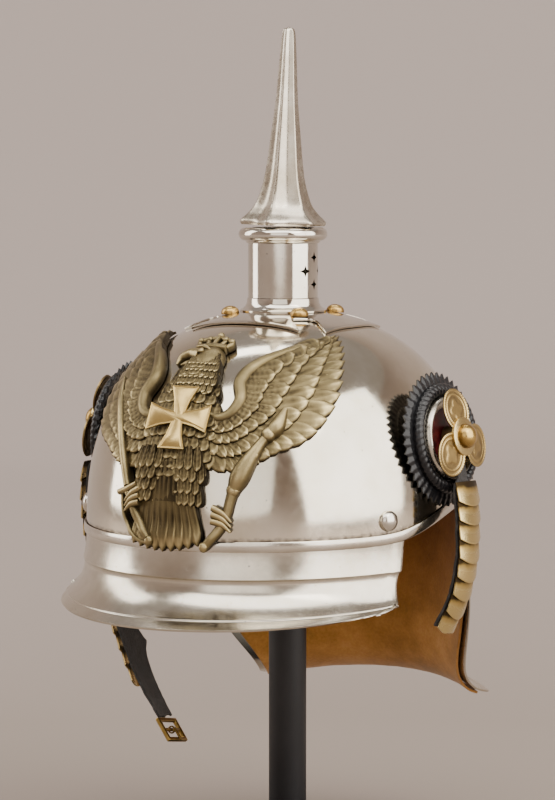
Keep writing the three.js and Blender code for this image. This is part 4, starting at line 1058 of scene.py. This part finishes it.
casting = bpy.data.meshes.new("eagle_plate")
casting.from_pydata(casting_points, [], casting_faces)
crest_layer = casting.attributes.new("crest", "FLOAT", "POINT")
crest_layer.data.foreach_set("value", casting_crests)
eagle = bpy.data.objects.new("eagle_plate" + LOOK, casting)
bpy.context.collection.objects.link(eagle)
bpy.ops.object.select_all(action="DESELECT")
eagle.select_set(True)
bpy.context.view_layer.objects.active = eagle
bpy.ops.object.mode_set(mode="EDIT")
bpy.ops.mesh.select_all(action="SELECT")
bpy.ops.mesh.normals_make_consistent(inside=False)
bpy.ops.object.mode_set(mode="OBJECT")
settle(eagle, patinated_bronze(), seat=HELMET_SEAT, smooth=50)

# Cross on the breast: a flat gilt brass plate whose four arms widen outwards, with a raised border.
# It is sawn from sheet, chased along its edge and pinned over the breast feathers.
CROSS_ARM, CROSS_TIP, CROSS_WAIST, CROSS_THICK = 16, 7, 3, 1.2
CROSS_AT, CROSS_STAND = (1, -2), 6.2
CROSS_BORDER, CROSS_FLARE = 0.7, (9, 4.3)
bpy.ops.object.select_all(action="DESELECT")
bpy.ops.mesh.primitive_circle_add(vertices=20, radius=1, fill_type="NGON")
cross = bpy.context.object
cross.name = "eagle_cross" + LOOK
outline = []
for arm in range(4):
    turn = Matrix.Rotation(arm * math.pi / 2, 4, "Z")
    flare_x, flare_y = CROSS_FLARE
    for x, y in [(CROSS_WAIST, -CROSS_WAIST), (flare_x, -flare_y), (CROSS_ARM, -CROSS_TIP),
                 (CROSS_ARM, CROSS_TIP), (flare_x, flare_y)]:
        outline.append(turn @ Vector((x, y, 0)))
ordered = sorted(cross.data.vertices, key=lambda vertex: math.atan2(vertex.co.y, vertex.co.x))
outline.sort(key=lambda point: math.atan2(point.y, point.x))
for vertex, point in zip(ordered, outline):
    vertex.co = point
bpy.ops.object.mode_set(mode="EDIT")
bpy.ops.mesh.select_all(action="SELECT")
bpy.ops.mesh.extrude_region_move(TRANSFORM_OT_translate={"value": (0, 0, CROSS_THICK)})
bpy.ops.mesh.inset(thickness=CROSS_BORDER, depth=-0.3)
bpy.ops.mesh.inset(thickness=0.35, depth=0)
bpy.ops.mesh.inset(thickness=0.25, depth=0.15)
bpy.ops.mesh.select_all(action="SELECT")
bpy.ops.mesh.normals_make_consistent(inside=False)
bpy.ops.object.mode_set(mode="OBJECT")
soften(cross, 0.16)
paint(cross, "crest", lambda point: 0.35 + 0.5 * point.z / CROSS_THICK)
gilt_brass = rubbed_brass("gilt_brass", "#ccb172", "#b39657", "#7a6236", 0.3, 0.46)
cross_seat = on_skull(*CROSS_AT, CROSS_STAND - EAGLE_FOOT)
cross_up = (on_skull(CROSS_AT[0], CROSS_AT[1] + 1, CROSS_STAND - EAGLE_FOOT) - cross_seat).normalized()
cross_side = (on_skull(CROSS_AT[0] + 1, CROSS_AT[1], CROSS_STAND - EAGLE_FOOT) - cross_seat).normalized()


def basis(x, y, z, origin):
    """A placing matrix from three axes and a point."""
    return Matrix.Translation(origin) @ Matrix((x, y, z)).transposed().to_4x4()


cross_place = basis(cross_side, cross_up, cross_side.cross(cross_up), cross_seat)
settle(cross, gilt_brass, seat=HELMET_SEAT @ cross_place)

# Side rivets: a domed nickel rivet behind each end of the visor, which holds the liner inside.
# They are set cold and polished with the skull.
RIVET_ANGLE, RIVET_Z, RIVET_RADIUS, RIVET_HEIGHT = 63.5, 9, 5, 3.6
for side, name in [(1, "side_rivet_left"), (-1, "side_rivet_right")]:
    rivet = turned(name, dome_rows(RIVET_RADIUS, RIVET_HEIGHT, foot=0.6), steps=48)
    angle = side * math.radians(RIVET_ANGLE)
    across = skull_at(angle + 1e-3, RIVET_Z, 0) - skull_at(angle - 1e-3, RIVET_Z, 0)
    upward = skull_at(angle, RIVET_Z + 1e-2, 0) - skull_at(angle, RIVET_Z - 1e-2, 0)
    outward = across.cross(upward).normalized()
    lean = outward.to_track_quat("Z", "Y").to_matrix().to_4x4()
    place = Matrix.Translation(skull_at(angle, RIVET_Z, 0) + outward * 0.1)
    settle(rivet, band_nickel, seat=HELMET_SEAT @ place @ lean)

# Cockades: at each ear a toothed black disc with a fluted ring, a silver ring and a red middle.
# They are pressed from sheet and lacquered, and stacked on the post that the chin scales turn on.
COCKADE_AT = (91.2, -7, 45)
COCKADE_UP, COCKADE_FORWARD = math.radians(9), math.radians(7)
TEETH, TOOTH_TIP, TOOTH_ROOT, FLANGE_INNER, DISH = 44, 33, 30.6, 25, 2
ROPE_MIDDLE, ROPE_HALF, FLUTES = 23.9, 3.2, 52
HUB_RADIUS, HUB_BACK = 9, -2.5
SILVER_INNER = 15.4


def black_lacquer():
    """Stoved black lacquer on sheet iron: deep gloss, rubbed brown on the teeth and dusty in the flutes."""
    material, shader = blank("black_lacquer", IOR=1.5, Specular_IOR_Level=0.3, Coat_Weight=0.25,
                             Coat_Roughness=0.1)
    where = node(material, "ShaderNodeTexCoord").outputs["Object"]
    wear = node(material, "ShaderNodeTexNoise", {"Vector": where}, Scale=per(6), Detail=7, Roughness=0.7)
    tone = node(material, "ShaderNodeValToRGB", {"Fac": wear.outputs["Fac"]},
                stops=[(0.4, "#0c0c0f"), (0.66, "#1a191b"), (0.8, "#3a332c")])
    rough = node(material, "ShaderNodeMapRange", {"Value": wear.outputs["Fac"]})
    rough.inputs["To Min"].default_value = 0.2
    rough.inputs["To Max"].default_value = 0.5
    link = material.node_tree.links.new
    link(tone.outputs["Color"], shader.inputs["Base Color"])
    link(rough.outputs["Result"], shader.inputs["Roughness"])
    return material


def red_lacquer():
    """Dark red lacquer, worn thin and uneven, with black showing through."""
    material, shader = blank("red_lacquer", IOR=1.5, Coat_Weight=0.2)
    where = node(material, "ShaderNodeTexCoord").outputs["Object"]
    wear = node(material, "ShaderNodeTexNoise", {"Vector": where}, Scale=per(5), Detail=6)
    tone = node(material, "ShaderNodeValToRGB", {"Fac": wear.outputs["Fac"]},
                stops=[(0.3, "#2a0b0c"), (0.5, "#5f1619"), (0.75, "#7d2422")])
    rough = node(material, "ShaderNodeMapRange", {"Value": wear.outputs["Fac"]})
    rough.inputs["To Min"].default_value = 0.35
    rough.inputs["To Max"].default_value = 0.65
    link = material.node_tree.links.new
    link(tone.outputs["Color"], shader.inputs["Base Color"])
    link(rough.outputs["Result"], shader.inputs["Roughness"])
    return material


def flange_point(u, v):
    angle = 2 * math.pi * u
    tooth = abs(2 * ((u * TEETH) % 1) - 1)
    radius = mix(FLANGE_INNER, mix(TOOTH_ROOT, TOOTH_TIP, tooth), v)
    line = 0.35 * math.exp(-((radius - 28.9) / 0.5) ** 2)
    return Vector((radius * math.cos(angle), radius * math.sin(angle), 1.2 - DISH * v + line))


def rope_point(u, v):
    angle = 2 * math.pi * u
    round_turn = 2 * math.pi * v
    flute = abs(math.sin(FLUTES / 2 * angle + 1.1 * round_turn))
    reach = ROPE_HALF * (0.86 + 0.14 * flute)
    radius = ROPE_MIDDLE + reach * math.cos(round_turn)
    height = 2.4 + 0.9 * reach * math.sin(round_turn)
    return Vector((radius * math.cos(angle), radius * math.sin(angle), height))


def lobe_height(radius, angle, size):
    share = radius / size
    milled = 1 + 0.35 * math.sin(angle * 44)
    outer = 0.6 * math.exp(-((share - 0.93) / 0.05) ** 2)
    inner = 0.5 * math.exp(-((share - 0.72) / 0.045) ** 2)
    border = (outer + inner) * milled
    cloud = 0.42 * (1 + 0.2 * math.cos(4 * angle))
    worn = 0.5 / (1 + math.exp((share - cloud) * 40))
    return border + worn


LOBES, LOBE_RADIUS, LOBE_PLACE, LOBE_DROOP, LOBE_TURN = 3, 10.6, 13.2, math.radians(6), 97
TREFOIL_THICK, TREFOIL_LIFT, STEM_RADIUS, STEM_FOOT = 1.4, 11.8, 6, 3.5
BOSS_RADIUS, BOSS_HEIGHT = 6, 5.5
cockade_black = black_lacquer()
cockade_red = red_lacquer()
cockade_silver = polished_nickel("silvered_sheet", "#cfcabd", "#a39a8a", 0.2, 0.36, dent=0.03)
trefoil_brass = rubbed_brass("trefoil_brass", "#d0b980", "#ad9460", "#6d5c40", 0.24, 0.42)
boss_brass = rubbed_brass("boss_brass", "#c4a562", "#a08046", "#5b4526", 0.2, 0.38)
for side, name in [(1, "left"), (-1, "right")]:
    outward = Vector((
        side * math.cos(COCKADE_UP) * math.cos(COCKADE_FORWARD),
        -math.cos(COCKADE_UP) * math.sin(COCKADE_FORWARD),
        math.sin(COCKADE_UP),
    ))
    level = Vector((0, 0, 1)).cross(outward).normalized()
    middle = Vector((side * COCKADE_AT[0], COCKADE_AT[1], COCKADE_AT[2]))
    stack = HELMET_SEAT @ basis(level, outward.cross(level), outward, middle)
    flange = sheet_of(f"cockade_black_{name}", TEETH * 6, 10, reversed_v(flange_point), closed=True)
    modify(flange, "SOLIDIFY", thickness=1.1, offset=-1)
    rope = sheet_of("rope", 312, 20, rope_point, closed=True)
    back = turned("back", [
        (0, HUB_BACK), (HUB_RADIUS, HUB_BACK), (HUB_RADIUS, 0), (26, 0), (26, 1.1), (20.5, 1.4), (0, 1.4),
        (0, HUB_BACK),
    ], steps=64)
    join(flange, rope, back)
    settle(flange, cockade_black, seat=stack, smooth=40)
    silver = turned(f"cockade_silver_{name}", [
        (SILVER_INNER, 1.7), (20.3, 1.7), (20.3, 4.6), (19.6, 5.9), (18.8, 6.4), (18.2, 6.2),
        (SILVER_INNER + 0.7, 4.9), (SILVER_INNER, 4.4), (SILVER_INNER, 1.7),
    ], steps=128)
    settle(silver, cockade_silver, seat=stack)
    red = turned(f"cockade_red_{name}", [
        (0, 1.7), (SILVER_INNER - 0.2, 1.7), (SILVER_INNER - 0.2, 3.2), (13.6, 3.1), (9, 2.5), (0, 2.4),
        (0, 1.7),
    ], steps=96)
    settle(red, cockade_red, seat=stack)
    trefoil = turned(f"trefoil_{name}", [
        (0, STEM_FOOT - TREFOIL_LIFT), (STEM_RADIUS, STEM_FOOT - TREFOIL_LIFT), (STEM_RADIUS, -0.6), (9.4, 0),
        (9.4, TREFOIL_THICK - 0.1), (8.6, TREFOIL_THICK + 0.25), (0, TREFOIL_THICK + 0.2),
        (0, STEM_FOOT - TREFOIL_LIFT),
    ], steps=64)
    start = LOBE_TURN if side > 0 else 180 - LOBE_TURN
    lobes = []
    for k in range(LOBES):
        def lobe_point(u, v):
            angle = 2 * math.pi * u
            radius = LOBE_RADIUS * v
            z = TREFOIL_THICK - 0.5 + 0.6 * lobe_height(radius, angle, LOBE_RADIUS)
            return Vector((radius * math.cos(angle), radius * math.sin(angle), z))
        lobe = sheet_of("lobe", 132, 30, reversed_v(lobe_point), closed=True)
        modify(lobe, "SOLIDIFY", thickness=0.9, offset=-1)
        lobe.data.transform(Matrix.Translation((LOBE_PLACE, 0, 0)))
        lobe.data.transform(Matrix.Rotation(LOBE_DROOP, 4, "Y"))
        lobe.data.transform(Matrix.Rotation(math.radians(start + k * 360 / LOBES), 4, "Z"))
        lobes.append(lobe)
    join(trefoil, *lobes)

    def trefoil_crest(point):
        flat = math.hypot(point.x, point.y)
        raised = point.z + math.tan(LOBE_DROOP) * flat
        return 0.1 + 0.75 * (raised - TREFOIL_THICK + 0.6) / 0.9

    paint(trefoil, "crest", trefoil_crest)
    settle(trefoil, trefoil_brass, seat=stack @ Matrix.Translation((0, 0, TREFOIL_LIFT)))
    boss = turned(f"boss_{name}", dome_rows(BOSS_RADIUS, BOSS_HEIGHT, steps=14, foot=0.8), steps=64)
    paint(boss, "crest", lambda point: 0.2 + 0.7 * point.z / BOSS_HEIGHT)
    boss_seat = Matrix.Translation((0, 0, TREFOIL_LIFT + TREFOIL_THICK + 0.25))
    settle(boss, boss_brass, seat=stack @ boss_seat)

# Chin straps: black leather bands that hang from the bosses, cracked and torn off at their ends.
# They carry the brass scales, which are wired on from behind in an overlapping row.
STRAP_THICK, STRAP_TAB, STRAP_TAB_LONG, STRAP_TOP, STRAP_END = 1.6, 10, 13, 21, 15
STRAPS = {
    "left": (1, [(100.5, -8, 37), (102.5, -8.5, 27), (104.2, -9, 16), (105, -9.5, 2), (104.6, -10, -14),
                 (100.6, -11, -32), (93.5, -13, -47)]),
    "right": (-1, [(-100.5, -8, 37), (-102.5, -8.5, 27), (-104.2, -9, 16), (-105, -8, 2), (-104.4, -5, -16),
                   (-101, -1, -38), (-95, 2, -58), (-86, 3, -82), (-78, 2, -96), (-69, 0, -107.5)]),
}
ROUTE_STEPS = 400


def strap_leather():
    """Waxed black leather gone dry: fine cracks and a dull grey bloom."""
    material, shader = blank("strap_leather", IOR=1.5, Sheen_Weight=0.1)
    where = node(material, "ShaderNodeTexCoord").outputs["Object"]
    bloom = node(material, "ShaderNodeTexNoise", {"Vector": where}, Scale=per(8), Detail=6, Roughness=0.65)
    tone = node(material, "ShaderNodeValToRGB", {"Fac": bloom.outputs["Fac"]},
                stops=[(0.3, "#131211"), (0.55, "#24211f"), (0.8, "#4a4440")])
    cracks = node(material, "ShaderNodeTexVoronoi", {"Vector": where}, feature="DISTANCE_TO_EDGE",
                  Scale=per(1.6))
    line = node(material, "ShaderNodeValToRGB", {"Fac": cracks.outputs["Distance"]},
                stops=[(0.0, 0.0), (0.12, 1.0)])
    bump = node(material, "ShaderNodeBump", {"Height": line.outputs["Color"]}, Strength=0.5, Distance=0.0003)
    rough = node(material, "ShaderNodeMapRange", {"Value": bloom.outputs["Fac"]})
    rough.inputs["To Min"].default_value = 0.45
    rough.inputs["To Max"].default_value = 0.8
    link = material.node_tree.links.new
    link(tone.outputs["Color"], shader.inputs["Base Color"])
    link(rough.outputs["Result"], shader.inputs["Roughness"])
    link(bump.outputs["Normal"], shader.inputs["Normal"])
    return material


def measured(route):
    """A route's points at even steps of its table, with the length run to each."""
    points = [Vector(through(route, i / ROUTE_STEPS)) for i in range(ROUTE_STEPS + 1)]
    run = [0]
    for before, after in zip(points, points[1:]):
        run.append(run[-1] + (after - before).length)
    return points, run


def strap_frame(track, side, distance):
    """A point on a strap's middle line, with its ways down, across and outwards."""
    points, run = track
    distance = min(max(distance, 0), run[-1])
    i = next((k for k in range(1, len(run)) if run[k] >= distance), len(run) - 1)
    share = (distance - run[i - 1]) / (run[i] - run[i - 1])
    point = points[i - 1].lerp(points[i], share)
    down = (points[min(i + 2, ROUTE_STEPS)] - points[max(i - 3, 0)]).normalized()
    across = Vector((side, 0, 0)).cross(down).normalized()
    return point, down, across, down.cross(across)


SCALE_START, SCALE_PITCH, SCALE_LONG, SCALE_TIP, SCALE_THICK = 12.5, 9, 12, 3, 0.8
SCALE_BULGE, SCALE_SLOPE, SCALE_TOP, SCALE_END = 2.2, 0.128, 23, 16
SCALES = {"left": 8, "right": 13}
TEAR_AT, TEAR_LONG, TEAR_OUT = 112, 9, 5
leather = strap_leather()
scale_brass = rubbed_brass("scale_brass", "#d6c084", "#b89c5c", "#3b2f1d", 0.24, 0.5)
tracks = {}
for name, (side, route) in STRAPS.items():
    track = measured(route)
    tracks[name] = track
    length = track[1][-1]

    def strap_point(u, v):
        x = 2 * u - 1
        torn = (v ** 12) * 3.5 * noise.noise(Vector((u * 4.3, side * 2.7, 0.5)))
        distance = v * length - max(torn, 0) - 0.2
        full = mix(STRAP_TOP, STRAP_END, v)
        narrow = min(max((distance - STRAP_TAB_LONG + 3) / 6, 0), 1)
        half = mix(STRAP_TAB, full, narrow * narrow * (3 - 2 * narrow)) / 2
        half += 0.45 * noise.noise(Vector((distance * 0.35, side * 5 + (x > 0) * 9, 1.7)))
        flap = max(0, 1 - abs(distance - TEAR_AT) / TEAR_LONG) if name == "right" and x < 0 else 0
        half += TEAR_OUT * flap ** 1.5
        point, down, across, outward = strap_frame(track, side, distance)
        curl = 0.5 * x * x + 0.25 * noise.noise(Vector((distance * 0.12, x, side)))
        return point + across * x * half - outward * curl * (v > 0.12)

    strap = sheet_of(f"strap_{name}", 16, 110, strap_point)
    modify(strap, "SOLIDIFY", thickness=STRAP_THICK - 0.2, offset=0)
    soften(strap, 0.3)
    settle(strap, leather, seat=HELMET_SEAT, smooth=50)

    for number in range(SCALES[name]):
        start = SCALE_START + number * SCALE_PITCH
        half = mix(SCALE_TOP, SCALE_END, number / SCALES["right"]) / 2

        def scale_point(u, v):
            share = 2 * u - 1
            forward = v * (SCALE_LONG - SCALE_TIP * share ** 2)
            rise = STRAP_THICK / 2 + 0.3 + SCALE_SLOPE * forward + SCALE_BULGE * (1 - share ** 2)
            point, down, across, outward = strap_frame(track, side, start + forward)
            return point + across * share * half + outward * rise

        scale = sheet_of(f"scale_{name}_{number + 1:02d}", 20, 14, scale_point)
        shine = scale.data.attributes.new("crest", "FLOAT", "POINT")
        for vertex in scale.data.vertices:
            i, j = vertex.index % 21, vertex.index // 21
            edge = abs(2 * i / 20 - 1)
            rubbed = min(max((j / 14 - 0.2) * 2.4, 0), 1)
            shine.data[vertex.index].value = 0.05 + 0.95 * rubbed - 0.15 * edge ** 4
        modify(scale, "SOLIDIFY", thickness=SCALE_THICK, offset=-1)
        soften(scale, 0.22)
        settle(scale, scale_brass, seat=HELMET_SEAT, smooth=40)

# Strap stud and buckle at the torn right strap's end: a domed brass stud through the leather, and a
# small cast brass frame with a middle bar. The tongue's eye turns on that bar.
STUD_FROM_END, TAIL_STUD_RADIUS, TAIL_STUD_HEIGHT = 14, 3, 2.6
BUCKLE_WIDE, BUCKLE_LONG, BUCKLE_ROD, BAR_RADIUS = 19, 14, 2.2, 0.9
EYE_MIDDLE, EYE_ROD, PRONG_WIDE, PRONG_THICK, PRONG_REACH = 1.7, 0.4, 1.8, 1.1, 7.2
tail_side = STRAPS["right"][0]
tail_length = tracks["right"][1][-1]
buckle_brass = rubbed_brass("buckle_brass", "#c9ab64", "#8f753f", "#4a3b22", 0.25, 0.45)


def tail_seat(distance, ahead, lift):
    point, down, across, outward = strap_frame(tracks["right"], tail_side, distance)
    return HELMET_SEAT @ basis(across, -down, outward, point + down * ahead + outward * lift)


tail_stud = turned("strap_stud", dome_rows(TAIL_STUD_RADIUS, TAIL_STUD_HEIGHT, foot=0.5), steps=40)
paint(tail_stud, "crest", lambda point: 0.3 + 0.6 * point.z / TAIL_STUD_HEIGHT)
stud_place = tail_seat(tail_length - STUD_FROM_END, 0, STRAP_THICK / 2 + 0.1)
settle(tail_stud, buckle_brass, seat=stud_place)
bpy.ops.object.select_all(action="DESELECT")
bpy.ops.mesh.primitive_plane_add(size=1)
buckle = bpy.context.object
buckle.name = "buckle_frame" + LOOK
bpy.ops.object.mode_set(mode="EDIT")
bpy.ops.mesh.select_all(action="SELECT")
bpy.ops.transform.resize(value=(BUCKLE_WIDE, BUCKLE_LONG, 1))
bpy.ops.mesh.inset(thickness=BUCKLE_ROD)
bpy.ops.mesh.delete(type="FACE")
bpy.ops.mesh.select_all(action="SELECT")
bpy.ops.transform.translate(value=(0, 0, -BUCKLE_ROD / 2))
bpy.ops.mesh.extrude_region_move(TRANSFORM_OT_translate={"value": (0, 0, BUCKLE_ROD)})
bpy.ops.mesh.select_all(action="SELECT")
bpy.ops.mesh.normals_make_consistent(inside=False)
bpy.ops.object.mode_set(mode="OBJECT")
soften(buckle, 0.7, 3)
bpy.ops.object.select_all(action="DESELECT")
bpy.ops.mesh.primitive_cylinder_add(vertices=24, radius=BAR_RADIUS, depth=BUCKLE_WIDE - BUCKLE_ROD,
                                    rotation=(0, math.pi / 2, 0))
bpy.ops.object.transform_apply(location=False, rotation=True, scale=False)
middle_bar = bpy.context.object
soften(middle_bar, 0.2)
join(buckle, middle_bar)
paint(buckle, "crest", lambda point: 0.55 + 0.25 * point.z / BUCKLE_ROD)
buckle_place = tail_seat(tail_length, BUCKLE_LONG / 2 + 0.3, 0)
settle(buckle, buckle_brass, seat=buckle_place)
bpy.ops.object.select_all(action="DESELECT")
bpy.ops.mesh.primitive_torus_add(major_radius=EYE_MIDDLE, minor_radius=EYE_ROD, major_segments=32,
                                 minor_segments=12, rotation=(0, math.pi / 2, 0))
bpy.ops.object.transform_apply(location=False, rotation=True, scale=False)
tongue = bpy.context.object
tongue.name = "buckle_tongue" + LOOK
tongue.data.transform(Matrix.Diagonal((PRONG_WIDE / 2 / EYE_ROD, 1, 1, 1)))
bpy.ops.object.select_all(action="DESELECT")
bpy.ops.mesh.primitive_cube_add(size=1)
prong = bpy.context.object
prong.data.transform(Matrix.Diagonal((PRONG_WIDE, PRONG_REACH, PRONG_THICK, 1)))
prong_lift = BUCKLE_ROD / 2 + 0.3 + PRONG_THICK / 2
prong.data.transform(Matrix.Translation((0, -PRONG_REACH / 2, -prong_lift)))
for vertex in prong.data.vertices:
    if vertex.co.y < -PRONG_REACH / 2:
        vertex.co.x *= 0.6
soften(prong, 0.3, 3)
join(tongue, prong)
paint(tongue, "crest", lambda point: 0.4)
settle(tongue, buckle_brass, seat=buckle_place, body="tongue")
